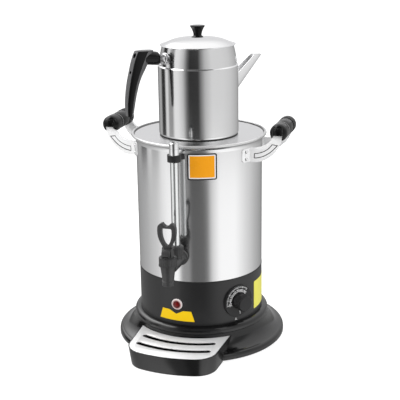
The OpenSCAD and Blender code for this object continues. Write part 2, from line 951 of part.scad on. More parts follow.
module grip_rod_hole(side) {
    translate([side * grip_x, 0, grip_z])
        rotate([90, 0, 0])
            cylinder(r = rod_r + bolt, h = 2 * grip_y + 60, center = true, $fn = 32);
}

module rounded_box(w, h, r) {
    square([w - 2 * r, h], center = true);
    square([w, h - 2 * r], center = true);
    for (x = [-1, 1], y = [-1, 1])
        translate([x * (w / 2 - r), y * (h / 2 - r)])
            circle(r = r, $fn = 32);
}

module right_front_arm() {
    arm(1, -1);
}

module right_rear_arm() {
    arm(1, 1);
}

module left_front_arm() {
    arm(-1, -1);
}

module left_rear_arm() {
    arm(-1, 1);
}

module handle_rivets() {
    color(chrome)
    rivet_places() {
        radial_rod(tank_in_r - 1, foot_r + 0.5, rivet_r);
        translate([0, 0, foot_r + 0.15])
            cylinder(r1 = 3.4, r2 = 2, h = 1.3, $fn = 32);
        radial_rod(tank_in_r - 1.6, tank_in_r - 0.1, 3.4);
    }
}

// Half-round end of a grip, its open side towards +Z
module grip_end() {
    intersection() {
        sphere(r = grip_r, $fn = 64);
        translate([-grip_r, -grip_r, -grip_d])
            cube([grip_d, grip_d, grip_d]);
    }
    cylinder(r = grip_r, h = grip_y - barrel_half - 0.1, $fn = 64);
}

module grip_ends(side) {
    channel_w = strap_top + 1;
    tenon_y = strap_t / 2 - tenon_t;
    color(black)
    difference() {
        for (end = [-1, 1])
            translate([side * grip_x, end * grip_y, grip_z])
                rotate([end * 90, 0, 0])
                    grip_end();
        for (end = [-1, 1])
            arm_place(side, end) {
                translate([0, strap_t / 2 + 0.2, 0])
                    rotate([90, 0, 0])
                        linear_extrude(height = 2 * grip_r)
                            strap_outline(fit);
                translate([arm_run - channel_w / 2, -2 * grip_r, grip_z - 5])
                    cube([channel_w, 2 * grip_r + tenon_y - 0.1, 14.8]);
                translate([arm_run - strap_half + 0.8, tenon_y - 0.2, grip_z - 5])
                    cube([strap_top - 1.6, tenon_t + 0.4, 14]);
            }
        grip_rod_hole(side);
    }
}

module right_grip_ends() {
    grip_ends(1);
}

module left_grip_ends() {
    grip_ends(-1);
}

module grip_barrel(side) {
    color(black)
    difference() {
        translate([side * grip_x, 0, grip_z])
            rotate([90, 0, 0]) {
                cylinder(d = barrel_d, h = 2 * barrel_half, center = true);
                cylinder(d = barrel_d + 1.4, h = 1.2 * barrel_half, center = true);
            }
        grip_rod_hole(side);
    }
}

module right_grip_barrel() {
    grip_barrel(1);
}

module left_grip_barrel() {
    grip_barrel(-1);
}

module grip_rods() {
    color("silver")
    for (side = [-1, 1])
        translate([side * grip_x, 0, grip_z])
            rotate([90, 0, 0])
                cylinder(r = rod_r, h = 2 * grip_y + 14, center = true, $fn = 32);
}

// ---------- tap ----------

module at_spout() {
    translate([0, -spout_y, 0])
        children();
}

module at_glass() {
    translate([0, -glass_y, 0])
        children();
}

module tap_body() {
    tip_r = 10.8;
    waist_r = 9.9;
    tip_h = 8.5;
    spout_z = collar_z - spout_l;
    color(grey_moulding)
    difference() {
        union() {
            outwards(0, tap_z) {
                radial_rod(tank_r - 14, tank_r + 8, shank_r);
                radial_rod(tank_r + 7.5, spout_y - 20, barrel_r);
                translate([0, 0, spout_y - 20])
                    cylinder(r1 = barrel_r, r2 = neck_w, h = 3);
                radial_rod(spout_y - 20, spout_y, neck_w);
                translate([0, 0, tank_r + 7.5])
                    cylinder(r1 = barrel_r + 2, r2 = barrel_r, h = 5);
            }
            at_glass()
                translate([0, 0, tap_z])
                    cylinder(r = boss_r, h = boss_top - tap_z);
            at_spout()
                rotate_extrude()
                    polygon([
                        [0, spout_z], [tip_r - 0.6, spout_z], [tip_r, spout_z + 0.6],
                        [tip_r, spout_z + tip_h], [waist_r, spout_z + tip_h + 0.6],
                        [thread_r + 0.4, collar_z], [thread_r, collar_z],
                        [thread_r, body_top], [0, body_top]
                    ]);
        }
        outwards(0, tap_z)
            radial_rod(tank_r - 15, spout_y - chamber_d / 2 + 1.5, water_r);
        at_glass() {
            translate([0, 0, tap_z])
                cylinder(r = glass_r - glass_wall - 0.2, h = 40);
            translate([0, 0, glass_foot])
                cylinder(r = glass_r + bolt, h = 20);
        }
        at_spout() {
            translate([0, 0, seat_z])
                cylinder(d = chamber_d, h = 60);
            translate([0, 0, seat_z - 4])
                cylinder(r = seat_bore_r, h = 8);
            translate([0, 0, spout_z - cut])
                cylinder(r1 = tip_r - 2.6, r2 = seat_bore_r, h = seat_z - 4 - spout_z + cut);
        }
    }
}

// Ribbed ring that clamps the tap against the wall
module tap_rosette() {
    color(grey_moulding)
    difference() {
        outwards(0, tap_z)
            fluted(14, tank_r - 1, tank_r + 7.5, 22, 1);
        outwards(0, tap_z)
            radial_rod(tank_r - 2, tank_r + 9, shank_r + bolt);
        translate([0, 0, tap_z - 20])
            cylinder(r = tank_r + 1.5, h = 40);
    }
}

module tap_gaskets() {
    color("firebrick")
    difference() {
        union() {
            intersection() {
                ring(tank_r + 1.5, tank_r + 0.02, tap_z - 16, tap_z + 16);
                outwards(0, tap_z)
                    radial_rod(tank_r - 8, tank_r + 5, 12.5);
            }
            intersection() {
                ring(tank_in_r - 0.02, tank_in_r - 1.5, tap_z - 16, tap_z + 16);
                outwards(0, tap_z)
                    radial_rod(tank_r - 8, tank_r + 5, 12.5);
            }
        }
        outwards(0, tap_z)
            radial_rod(tank_r - 12, tank_r + 9, shank_r + bolt);
    }
}

module tap_backnut() {
    back_r = tank_in_r - 1.52;
    color("goldenrod")
    difference() {
        intersection() {
            outwards(0, tap_z)
                translate([0, 0, back_r - 7])
                    cylinder(r = 13, h = 9, $fn = 6);
            translate([0, 0, tap_z - 20])
                cylinder(r = back_r, h = 40);
        }
        outwards(0, tap_z)
            radial_rod(tank_r - 20, tank_r, shank_r + run);
    }
}

module tap_collar() {
    lip_z = body_top + bonnet_flange;
    color(grey_moulding)
    difference() {
        at_spout()
            union() {
                fluted(collar_d / 2, collar_z + 1, lip_z + 1.2, 20, 1.1);
                ring(collar_d / 2 + 0.5, thread_r, collar_z, collar_z + 1.6);
                ring(collar_d / 2 - 0.7, neck_r, lip_z + 1, lip_z + 2);
            }
        at_spout() {
            translate([0, 0, collar_z - cut])
                cylinder(r = thread_r + bolt, h = lip_z - collar_z + cut);
            translate([0, 0, lip_z - cut])
                cylinder(r = neck_r + bolt, h = 5);
        }
    }
}

// Guide of the stem, with two ears that the lever works between
module tap_bonnet() {
    ear_in = hub_w / 2 + 0.6;
    color(grey_moulding)
    difference() {
        at_spout()
            union() {
                translate([0, 0, body_top])
                    cylinder(r = thread_r, h = bonnet_flange);
                translate([0, 0, body_top])
                    cylinder(r = neck_r, h = bonnet_top - body_top);
                for (side = [-1, 1])
                    intersection() {
                        translate([0, 0, bonnet_top - 1])
                            cylinder(r1 = neck_r, r2 = neck_r - 1.6, h = 16);
                        translate([side > 0 ? ear_in : -ear_in - 6, -6.5, bonnet_top - 1])
                            cube([6, 13, 16]);
                        translate([0, 0, pin_z - 2])
                            rotate([0, 90, 0])
                                cylinder(r = 9.5, h = 40, center = true);
                    }
            }
        at_spout()
            translate([0, 0, body_top - cut])
                cylinder(r = stem_d / 2 + run, h = 20);
    }
}

module tap_stem() {
    color("whitesmoke")
    difference() {
        at_spout()
            union() {
                translate([0, 0, seat_z + cup_h])
                    cylinder(r = 8, h = 2);
                translate([0, 0, seat_z + cup_h])
                    cylinder(d = stem_d, h = round_top - seat_z - cup_h);
                translate([0, 0, seat_z + 0.6])
                    cylinder(r = 2.5, h = cup_h);
                intersection() {
                    translate([-tongue_t / 2, -stem_d / 2, round_top - 1])
                        cube([tongue_t, stem_d, pin_z - round_top + 4]);
                    translate([0, 0, round_top - 2])
                        cylinder(d = stem_d, h = 40);
                }
            }
        at_spout()
            translate([0, 0, pin_z])
                rotate([0, 90, 0])
                    cylinder(d = pin_d, h = 30, center = true, $fn = 32);
    }
}

module tap_seat_cup() {
    color("firebrick")
    difference() {
        at_spout()
            translate([0, 0, seat_z])
                cylinder(r1 = 7.4, r2 = 8.6, h = cup_h);
        at_spout()
            translate([0, 0, seat_z + 0.6])
                cylinder(r = 2.5, h = cup_h + cut);
    }
}

// Return spring: closed by its neighbours, five turns of round wire
module tap_spring() {
    turns = 5;
    per_turn = 18;
    sides = 6;
    steps = turns * per_turn;
    low = spring_z0 + wire_d / 2 + 0.05;
    high = spring_z1 - wire_d / 2 - 0.05;
    points = [for (i = [0 : steps])
        for (k = [0 : sides - 1])
            let (a = 360 * i / per_turn,
                 q = 360 * k / sides,
                 r = spring_r + wire_d / 2 * cos(q))
            [r * cos(a), r * sin(a), low + (high - low) * i / steps + wire_d / 2 * sin(q)]];
    faces = concat(
        [[for (k = [0 : sides - 1]) k]],
        [for (i = [0 : steps - 1])
            for (k = [0 : sides - 1])
                let (a = i * sides + k, b = i * sides + (k + 1) % sides)
                [a, a + sides, b + sides, b]],
        [[for (k = [sides - 1 : -1 : 0]) steps * sides + k]]
    );
    color("silver")
    at_spout()
        polyhedron(points = points, faces = faces, convexity = 10);
}

// Side outline of the lever's cam about its pin, as [forwards, up]. Past the
// flat at rest it is an involute, so the stem rises in step with the pull.
function cam_outline() = concat(
    [for (a = [0 : lever_pull / 12 : lever_pull + 0.01])
        let (p = cam_r - run + cam_rate * a * PI / 180)
        [p * sin(a) + cam_rate * cos(a), -p * cos(a) + cam_rate * sin(a)]],
    [[13, -3], [12.4, 1], [10.5, 4], [8, 6]],
    arc([0, 0], cam_r - 0.3, 50, 270, 20)
);

// Room in the lever for the stem's tongue, from rest to the full pull
function tongue_slot() =
    let (s = stem_d / 2 + 1.2, a = lever_pull + 1)
    [[-s, 0], [-s, -30], [s * cos(a) + 30 * sin(a), s * sin(a) - 30 * cos(a)],
     [s * cos(a), s * sin(a)]];

// A side outline given as [forwards, up], as thick as w across the tap
module across_tap(w, outline) {
    rotate([0, -90, 0])
        translate([0, 0, -w / 2])
            linear_extrude(height = w)
                polygon([for (p = outline) [p[1], -p[0]]]);
}

// Half outlines of the finger loop, from the neck up to the middle of the top
loop_edge = [[5.5, 0], [9, 6], [loop_w / 2 + 2.5, 14], [loop_w / 2, 30]];
loop_hole = [[0.01, 0], [5, 1.5], [10.5, 12], [9.2, 23]];

module loop_outline() {
    top = loop_h - 10;
    scale_up = top / 34;
    side = concat(
        [for (t = [0 : 0.1 : 1]) let (p = bezier(loop_edge, t)) [p[0], p[1] * scale_up]],
        curve([[loop_w / 2, 30.5 * scale_up], [loop_w / 2 - 0.6, top - 1],
               [loop_w / 2 - 3.5, top + 2.5], [8, top + 3.2]], 8),
        curve([[7, top + 3], [4.5, top - 0.5], [2.5, top - 2.2], [0, top - 2.4]], 6)
    );
    difference() {
        polygon(concat(side, [for (p = backwards(side)) [-p[0], p[1]]]));
        loop_opening(scale_up);
    }
}

module loop_opening(scale_up) {
    hole = concat(
        [for (t = [0 : 0.1 : 1])
            let (p = bezier(loop_hole, t))
            [p[0], (p[1] + 3.5) * scale_up]],
        curve([[9.2, 27 * scale_up], [9.2, 28.6 * scale_up],
               [8, 29.3 * scale_up], [6, 29.3 * scale_up]], 5)
    );
    polygon(concat(hole, [for (p = backwards(hole)) [-p[0], p[1]]]));
}

module tap_lever() {
    slot = tongue_t + 0.6;
    color(grey_moulding)
    difference() {
        at_spout()
            translate([0, 0, pin_z]) {
                across_tap(hub_w, cam_outline());
                translate([0, loop_t / 2, 6.5])
                    rotate([90, 0, 0])
                        linear_extrude(height = loop_t)
                            loop_outline();
            }
        at_spout()
            translate([0, 0, pin_z]) {
                rotate([0, 90, 0]) {
                    cylinder(r = pin_d / 2 + run, h = 40, center = true, $fn = 32);
                    cylinder(r = stem_d / 2 + 1.2, h = slot, center = true, $fn = 48);
                }
                across_tap(slot, tongue_slot());
            }
    }
}

module tap_lever_pin() {
    color("silver")
    at_spout()
        translate([0, 0, pin_z])
            rotate([0, 90, 0])
                cylinder(d = pin_d, h = hub_w, center = true, $fn = 32);
}

// ---------- sight glass ----------

module glass_nut() {
    top = nut_z + nut_up;
    color(grey_moulding)
    difference() {
        at_glass()
            union() {
                fluted(gland_nut_r, nut_z, top - 2, 20, 0.9);
                translate([0, 0, top - 2])
                    cylinder(r1 = gland_nut_r - 0.5, r2 = gland_nut_r - 2.5, h = 2);
            }
        at_glass() {
            translate([0, 0, nut_z - cut])
                cylinder(r = boss_r + bolt, h = nut_up - 3.5 + cut);
            translate([0, 0, nut_z])
                cylinder(r = glass_r + bolt, h = nut_up + cut);
        }
    }
}

module glass_seal() {
    color("firebrick")
    at_glass()
        ring(boss_r - 0.1, glass_r, boss_top, nut_z + nut_up - 3.5);
}

module sight_glass() {
    color("lightcyan", 0.4)
    at_glass()
        ring(glass_r, glass_r - glass_wall, glass_foot, cap_top - 5);
}

module glass_sleeve() {
    color(chrome)
    at_glass()
        ring(sleeve_r, glass_r + bolt, sleeve_z, sleeve_z + sleeve_h - 0.3);
}

module glass_cap() {
    z0 = sleeve_z + sleeve_h;
    r = sleeve_r - 0.1;
    round = 3;
    color(chrome)
    difference() {
        at_glass()
            rotate_extrude()
                polygon(concat(
                    [[0, z0], [r, z0]],
                    arc([r - round, cap_top - round], round, 0, 90, 8),
                    [[0, cap_top]]
                ));
        at_glass() {
            translate([0, 0, z0 - cut])
                cylinder(r = glass_r + bolt, h = cap_top - 5 - z0 + cut);
            cylinder(r = 1, h = cap_top + cut, $fn = 24);
        }
    }
}

// Snap ring round the glass, on an arm that widens to a foot on the wall
module glass_clip() {
    ring_r = glass_r + 4.8;
    foot = 20;
    color(black)
    difference() {
        union() {
            at_glass()
                translate([0, 0, clip_z])
                    cylinder(r = ring_r, h = clip_h);
            translate([0, 0, clip_z - 2])
                linear_extrude(height = clip_foot_h)
                    polygon([[-foot / 2, -tank_r + 2], [foot / 2, -tank_r + 2],
                             [foot / 2, -tank_r - 1], [4.5, -tank_r - 6], [4.5, -glass_y],
                             [-4.5, -glass_y], [-4.5, -tank_r - 6], [-foot / 2, -tank_r - 1]]);
        }
        tank_space(clip_z - 5, clip_h + 10);
        at_glass() {
            translate([0, 0, clip_z - 5])
                cylinder(r = glass_r + bolt, h = clip_h + 10);
            translate([-3.2, -ring_r - 2, clip_z - 5])
                cube([6.4, ring_r, clip_h + 10]);
        }
        outwards(0, clip_z + clip_foot_h / 2 - 2) {
            radial_rod(tank_r - 4, tank_r + 1.7, panel_screw_r + run);
            radial_rod(tank_r + 1.6, glass_y, 3.4);
        }
    }
}

// ---------- teapot ----------

module at_pot() {
    rotate([0, 0, pot_turn])
        children();
}

module pot_body() {
    inner = pot_corner - pot_sheet;
    color(steel)
    difference() {
        at_pot()
            rotate_extrude()
                polygon(concat(
                    [[0, pot_z]],
                    arc([pot_r - pot_corner, pot_z + pot_corner], pot_corner, -90, 0, 8),
                    [[pot_r, band_z - 5]],
                    curve([[pot_r, band_z - 4], [pot_r, band_z - 1],
                           [band_r, band_z - 2.5], [band_r, band_z + 1.5]], 8),
                    [[pot_mouth_r, pot_top - 1], [pot_mouth_r - 0.2, pot_top],
                     [pot_mouth_r - pot_sheet, pot_top],
                     [pot_mouth_r - pot_sheet - 0.1, pot_top - 1]],
                    backwards(curve([[pot_r - pot_sheet, band_z - 4 - pot_sheet],
                                     [pot_r - pot_sheet, band_z - 1 - pot_sheet],
                                     [band_r - pot_sheet, band_z - 2.5 - pot_sheet],
                                     [band_r - pot_sheet, band_z + 1.5]], 8)),
                    arc([pot_r - pot_corner, pot_z + pot_corner], inner, 0, -90, 8),
                    [[0, pot_z + pot_sheet]]
                ));
        at_pot()
            for (row = [0 : 2], k = [-1 : 1])
                rotate([0, 0, 180 + k * 6])
                    translate([0, -pot_r - 4, pot_z + 70 + row * 9])
                        rotate([-90, 0, 0])
                            cylinder(r = 2.5, h = 12, $fn = 24);
    }
}

// Folded trough, open on top, ending in a pointed lip: the bottom and the two
// edges are straight lines from the pot to the mouth
spout_root = [pot_r - 5, spout_top - 78];
spout_tip = [spout_reach, spout_top - 1];
spout_edge_root = [pot_r - 5, spout_top - 39];
spout_edge_tip = [spout_reach - 20, spout_top];

// Half section at a share t along, u from the bottom to the edge: [across, up]
function spout_half(t, u, wall) =
    let (w = (1 - t) * 11 + t * 6.5 - wall,
         h = norm((1 - t) * (spout_edge_root - spout_root) + t * (spout_edge_tip - spout_tip)))
    [w * pow(u, 0.7), wall + (h - wall) * pow(u, 1.5)];

function spout_ring(t, n = 10) =
    let (base = (1 - t) * spout_root + t * spout_tip,
         top = (1 - t) * spout_edge_root + t * spout_edge_tip,
         up = (top - base) / norm(top - base),
         outer = [for (i = [-n : n])
             let (q = spout_half(t, abs(i) / n, 0)) [sign(i) * q[0], q[1]]],
         inner = [for (i = [n : -1 : -n])
             let (q = spout_half(t, abs(i) / n, spout_wall)) [sign(i) * q[0], q[1]]])
    [for (q = concat(outer, inner)) [q[0], -base[0] - up[0] * q[1], base[1] + up[1] * q[1]]];

module pot_spout() {
    steps = 8;
    points = [for (i = [0 : steps]) for (p = spout_ring(i / steps)) p];
    n = len(spout_ring(0));
    faces = concat(
        [for (i = [0 : steps - 1])
            for (k = [0 : n - 1])
                let (a = i * n + k, b = i * n + (k + 1) % n)
                [a, b, b + n, a + n]],
        [for (k = [0 : n / 2 - 2]) [k + 1, k, n - 1 - k, n - 2 - k]],
        [for (k = [0 : n / 2 - 2])
            [steps * n + k, steps * n + k + 1, steps * n + n - 2 - k, steps * n + n - 1 - k]]
    );
    color(steel)
    difference() {
        rotate([0, 0, pot_turn + 180])
            polyhedron(points = points, faces = faces, convexity = 4);
        translate([0, 0, pot_z])
            cylinder(r = pot_r + 0.02, h = pot_h, $fn = 360);
    }
}

module pot_ferrule() {
    from = band_r - 1;
    color(chrome)
    difference() {
        at_pot()
            translate([0, 0, ferrule_z])
                rotate([90, 0, 0])
                    rotate_extrude()
                        polygon(concat(
                            [[0, from], [11, from]],
                            curve([[11, from + 2.5], [7, from + 4], [8.5, from + 8],
                                   [9.4, from + 12]], 8),
                            [[0, from + 12]]
                        ));
        at_pot()
            rotate_extrude()
                polygon([
                    [0, band_z], [band_r + 0.02, band_z], [band_r + 0.02, band_z + 1.5],
                    [pot_mouth_r + 0.02, pot_top - 1], [0, pot_top - 1]
                ]);
    }
}

// Centre line, depths and widths of the bakelite handle, from the ferrule
handle_line = [[band_r + 11.05, ferrule_z], [band_r + 26, ferrule_z + 3],
               [band_r + 43, ferrule_z + 3], [band_r + 56, ferrule_z - 7],
               [band_r + 62.5, ferrule_z - 26], [band_r + 67, ferrule_z - 50],
               [band_r + 70, ferrule_z - 74], [band_r + 70.5, ferrule_z - 95]];
handle_depth = [19, 22, 26, 25, 20.5, 17, 14, 9];
handle_width = [18, 21, 24, 26, 26, 24, 20, 12];

module pot_handle() {
    steps = 30;
    color("#1d1d1d")
    at_pot()
        rotate([0, 0, -90])
            swept(
                [for (i = [0 : steps]) through(handle_line, i / steps)],
                [for (i = [0 : steps]) through(handle_depth, i / steps)],
                [for (i = [0 : steps]) through(handle_width, i / steps)]
            );
}

module pot_lid() {
    flange = 8;
    rim_r = pot_mouth_r + 1;
    // The flange clears the mouth, and the pot's wall where that is narrower
    widening = (band_r - pot_mouth_r) * (flange - 1) / (band_h - 2.5);
    inner_r = pot_mouth_r - pot_sheet + min(0, widening) - 2 * fit - 0.4;
    dip_r = 13;
    dome = function (r, t) pot_top + dome_h - dome_r + sqrt(pow(dome_r - t, 2) - r * r);
    color(steel)
    rotate_extrude()
        polygon(concat(
            [[0, knob_seat_z - pot_sheet], [0, knob_seat_z], [dip_r - 2, knob_seat_z]],
            [for (i = [0 : 16])
                let (r = dip_r + (rim_r - dip_r) * i / 16)
                [r, max(dome(r, 0), pot_top + 0.8)]],
            [[rim_r, pot_top], [inner_r, pot_top], [inner_r, pot_top - flange],
             [inner_r - pot_sheet, pot_top - flange]],
            [for (i = [16 : -1 : 0])
                let (r = dip_r + (inner_r - pot_sheet - dip_r) * i / 16)
                [r, dome(r, pot_sheet)]],
            [[dip_r - 2, knob_seat_z - pot_sheet]]
        ));
}

module pot_lid_knob() {
    z = knob_seat_z;
    h = lid_knob_h;
    color("#1d1d1d")
    rotate_extrude()
        polygon(concat(
            [[0, z], [10.4, z], [10.4, z + 1.2]],
            curve([[10, z + 1.8], [6.2, z + 5], [7, z + 0.45 * h], [12.4, z + 0.75 * h]], 8),
            curve([[12.8, z + 0.78 * h], [13.2, z + 0.93 * h], [11, z + 0.97 * h], [0, z + h]], 8)
        ));
}

// ---------- drip tray ----------

tray_corner = 38;
// How much the sides draw in from the skirt to the front corners
tray_taper = 4;
tray_scale = tray_front / (tray_front - tray_draft);

// Plan of the tray at the floor, inset by g: front arc, rounded corners and
// straight sides that run back under the skirt's collar
module tray_plan(g = 0) {
    half = tray_w / 2 / tray_scale;
    front = tray_front - tray_draft;
    corner_x = half - tray_taper - tray_corner;
    corner_y = sqrt(pow(front - tray_corner, 2) - pow(corner_x, 2));
    corner_turn = atan2(corner_x, corner_y);
    r = tray_corner - g;
    polygon(concat(
        [[half - g, -tank_r * 0.75]],
        [for (i = [0 : 8])
            let (a = (90 - corner_turn) * (1 - i / 8) + corner_turn)
            [corner_x + r * sin(a), -corner_y - r * cos(a)]],
        [for (i = [1 : 15])
            let (a = corner_turn - 2 * corner_turn * i / 16)
            [(front - g) * sin(a), -(front - g) * cos(a)]],
        [for (i = [0 : 8])
            let (a = -corner_turn - (90 - corner_turn) * i / 8)
            [-corner_x + r * sin(a), -corner_y - r * cos(a)]],
        [[-half + g, -tank_r * 0.75]]
    ));
}

// The skirt's outside grown by g, as a solid that the tray is cut to
module skirt_space(g) {
    rotate_extrude()
        polygon(concat(
            [[0, collar_h + 5], [tank_r, collar_h + 5]],
            skirt_outline(g),
            [[lip_r + g, -5], [0, -5]]
        ));
}

module tray_pan() {
    color(black)
    difference() {
        linear_extrude(height = tray_h, scale = tray_scale)
            tray_plan();
        difference() {
            translate([0, 0, tray_wall])
                linear_extrude(height = tray_h, scale = pow(tray_scale, 1.1))
                    tray_plan(tray_wall);
            skirt_space(tray_gap + tray_wall);
        }
        translate([0, 0, grid_z])
            linear_extrude(height = 5)
                scale(tray_scale)
                    tray_plan(1.2);
        skirt_space(tray_gap);
    }
}

// One slot along an arc about the tank's axis, with round ends and, at the
// middle of its rear edge, the small nick where the two strokes of the die meet
module grid_slot(r, half_angle) {
    translate([0, slot_w / 2 - r, grid_z - cut])
        rotate([0, 0, 45])
            translate([-1.1, -1.1, 0])
                cube([2.2, 2.2, grid_t + 2 * cut]);
    rotate([0, 0, -90 - half_angle])
        rotate_extrude(angle = 2 * half_angle)
            translate([r - slot_w / 2, grid_z - cut])
                square([slot_w, grid_t + 2 * cut]);
    for (side = [-1, 1])
        rotate([0, 0, side * half_angle])
            translate([0, -r, grid_z - cut])
                cylinder(d = slot_w, h = grid_t + 2 * cut, $fn = 32);
}

module tray_grid() {
    color("whitesmoke")
    difference() {
        translate([0, 0, grid_z])
            linear_extrude(height = grid_t)
                scale(tray_scale)
                    tray_plan(1.5);
        skirt_space(tray_gap + 1);
        grid_slot(tray_front - 62, 24.8);
        grid_slot(tray_front - 32, 20.6);
    }
}

tank();
tank_lid();
seam_gasket();
base_shell();
base_skirt();
base_plate();
rubber_feet();
base_screws();
heating_element();
element_gaskets();
element_nuts();
thermostat_body();
thermostat_bulb();
panel_screws();
overheat_cutout();
terminal_block();
cable_gland();
gland_locknut();
lamp_body();
lamp_bezel();
lamp_lens();
dial_plate();
thermostat_spindle();
thermostat_knob();
right_front_arm();
right_rear_arm();
left_front_arm();
left_rear_arm();
handle_rivets();
right_grip_ends();
left_grip_ends();
right_grip_barrel();
left_grip_barrel();
grip_rods();
tap_body();
tap_rosette();
tap_gaskets();
tap_backnut();
tap_collar();
tap_bonnet();
tap_stem();
tap_seat_cup();
tap_spring();
tap_lever();
tap_lever_pin();
glass_nut();
glass_seal();
sight_glass();
glass_sleeve();
glass_cap();
glass_clip();
pot_body();
pot_spout();
pot_ferrule();
pot_handle();
pot_lid();
pot_lid_knob();
tray_pan();
tray_grid();
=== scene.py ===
"""Finish and studio for an electric hot water urn with a teapot on its lid.

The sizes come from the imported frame; every length here is in metres.
"""

import json
import math
from contextlib import contextmanager

import bmesh
import bpy
from mathutils import Matrix, Vector


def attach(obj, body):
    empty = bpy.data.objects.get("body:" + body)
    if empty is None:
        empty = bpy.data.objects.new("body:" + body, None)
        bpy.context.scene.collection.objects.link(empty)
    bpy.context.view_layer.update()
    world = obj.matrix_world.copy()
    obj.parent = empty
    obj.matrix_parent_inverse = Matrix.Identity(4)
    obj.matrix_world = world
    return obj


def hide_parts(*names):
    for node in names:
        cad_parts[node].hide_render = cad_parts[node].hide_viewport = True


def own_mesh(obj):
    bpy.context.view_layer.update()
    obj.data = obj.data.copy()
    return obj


bl_info = {
    "name": "Hot water urn finish",
    "version": (1, 0, 0),
    "blender": (4, 5, 0),
    "location": "View3D > Sidebar > Urn",
    "description": "Finishes, turned and moulded pieces and a studio for a hot water urn",
    "category": "Add Mesh",
}

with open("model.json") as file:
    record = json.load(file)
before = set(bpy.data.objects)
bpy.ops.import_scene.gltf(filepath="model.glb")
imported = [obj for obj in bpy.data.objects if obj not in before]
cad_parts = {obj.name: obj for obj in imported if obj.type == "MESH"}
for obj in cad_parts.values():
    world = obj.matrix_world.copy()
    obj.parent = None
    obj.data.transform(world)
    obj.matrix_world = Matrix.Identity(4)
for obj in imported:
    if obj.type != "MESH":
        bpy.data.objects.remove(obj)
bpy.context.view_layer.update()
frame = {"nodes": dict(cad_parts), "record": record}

SLOTS = {row["node"]: row["material_slot"] for row in frame["record"]["subparts"]}

# Bearings are counted from the front towards +X; the vessel's axis is at the origin
TANK_R = 0.115
RIM_Z = 0.386
BEAD = (0.1172, RIM_Z - 0.0028)
GLASS_Y = -0.142
CLIP_Z = 0.372
CONTROL_Z = 0.093
DIAL_TURN = math.radians(53)
DIAL_FACE = 0.117
LAMP_TURN = math.radians(-5)
POT_TURN = math.radians(-42.5)
POT_FOOT = 0.38502
POT_TOP = 0.54502
GRIP_BALL = Vector((0.1565, -0.036, 0.4007))
ARM_ROOT = Vector((0.10941, -0.04420, 0))
ARM_TURN = math.radians(4.49)
ARM_RUN = 0.04724
QUARTER = math.radians(90)

# Name and sign of each side along X, and of each end of a side handle along -Y
SIDES = (("right", 1), ("left", -1))
ENDS = (("front", 1), ("rear", -1))


# ---------- settings ----------


class UrnFinishSettings(bpy.types.PropertyGroup):
    """Colours and sizes that a user would change on the urn"""

    steel_tint: bpy.props.FloatVectorProperty(
        name="Steel", description="Colour of the tank and teapot steel",
        default=(0.80, 0.80, 0.805), subtype="COLOR", min=0, max=1)
    steel_roughness: bpy.props.FloatProperty(
        name="Steel roughness", description="How blurred the steel's reflections are",
        default=0.15, min=0.02, max=0.6, subtype="FACTOR")
    chrome_tint: bpy.props.FloatVectorProperty(
        name="Chrome", description="Colour of the cast handles and small bright fittings",
        default=(0.93, 0.93, 0.935), subtype="COLOR", min=0, max=1)
    enamel: bpy.props.FloatVectorProperty(
        name="Base enamel", description="Colour of the painted base shell",
        default=(0.014, 0.014, 0.0145), subtype="COLOR", min=0, max=1)
    gloss_black: bpy.props.FloatVectorProperty(
        name="Gloss moulding", description="Colour of the skirt, tray and grips",
        default=(0.0045, 0.0045, 0.0047), subtype="COLOR", min=0, max=1)
    tap_grey: bpy.props.FloatVectorProperty(
        name="Tap moulding", description="Colour of the tap and its nuts",
        default=(0.034, 0.034, 0.0345), subtype="COLOR", min=0, max=1)
    plate_orange: bpy.props.FloatVectorProperty(
        name="Front plate", description="Colour of the bare plate under the rim",
        default=(0.88, 0.35, 0.008), subtype="COLOR", min=0, max=1)
    label_yellow: bpy.props.FloatVectorProperty(
        name="Lamp label", description="Colour of the bare label under the lamp",
        default=(0.93, 0.60, 0.005), subtype="COLOR", min=0, max=1)
    side_yellow: bpy.props.FloatVectorProperty(
        name="Side label", description="Colour of the bare label beside the dial",
        default=(0.90, 0.85, 0.13), subtype="COLOR", min=0, max=1)
    plate_width: bpy.props.FloatProperty(
        name="Plate width", description="Width of the front plate round the tank",
        default=0.0515, min=0.02, max=0.08, unit="LENGTH")
    plate_height: bpy.props.FloatProperty(
        name="Plate height", description="Height of the front plate",
        default=0.047, min=0.02, max=0.08, unit="LENGTH")
    edge_radius: bpy.props.FloatProperty(
        name="Edge rounding", description="Rounding of cast and moulded edges",
        default=0.0013, min=0.0001, max=0.003, unit="LENGTH")


# ---------- shader helpers ----------


class Value:
    """A shader value that adds a Math node for each operator used on it"""

    def __init__(self, board, source):
        self.board = board
        self.source = source

    def _math(self, operation, *values):
        node = self.board.node("ShaderNodeMath", {"operation": operation}, dict(enumerate(values)))
        return Value(self.board, node.outputs[0])

    def __add__(self, other):
        return self._math("ADD", self, other)

    def __sub__(self, other):
        return self._math("SUBTRACT", self, other)

    def __rsub__(self, other):
        return self._math("SUBTRACT", other, self)

    def __mul__(self, other):
        return self._math("MULTIPLY", self, other)

    def __truediv__(self, other):
        return self._math("DIVIDE", self, other)

    def __pow__(self, other):
        return self._math("POWER", self, other)

    def __gt__(self, other):
        return self._math("GREATER_THAN", self, other)

    __radd__ = __add__
    __rmul__ = __mul__

    def larger(self, other):
        return self._math("MAXIMUM", self, other)

    def angle_to(self, other):
        return self._math("ARCTAN2", self, other)

    def between(self, low, high):
        """A smooth step, from 0 where the value is low to 1 where it is high"""
        node = self.board.node("ShaderNodeMapRange", {"interpolation_type": "SMOOTHSTEP"},
                               {0: self, 1: low, 2: high})
        return Value(self.board, node.outputs[0])


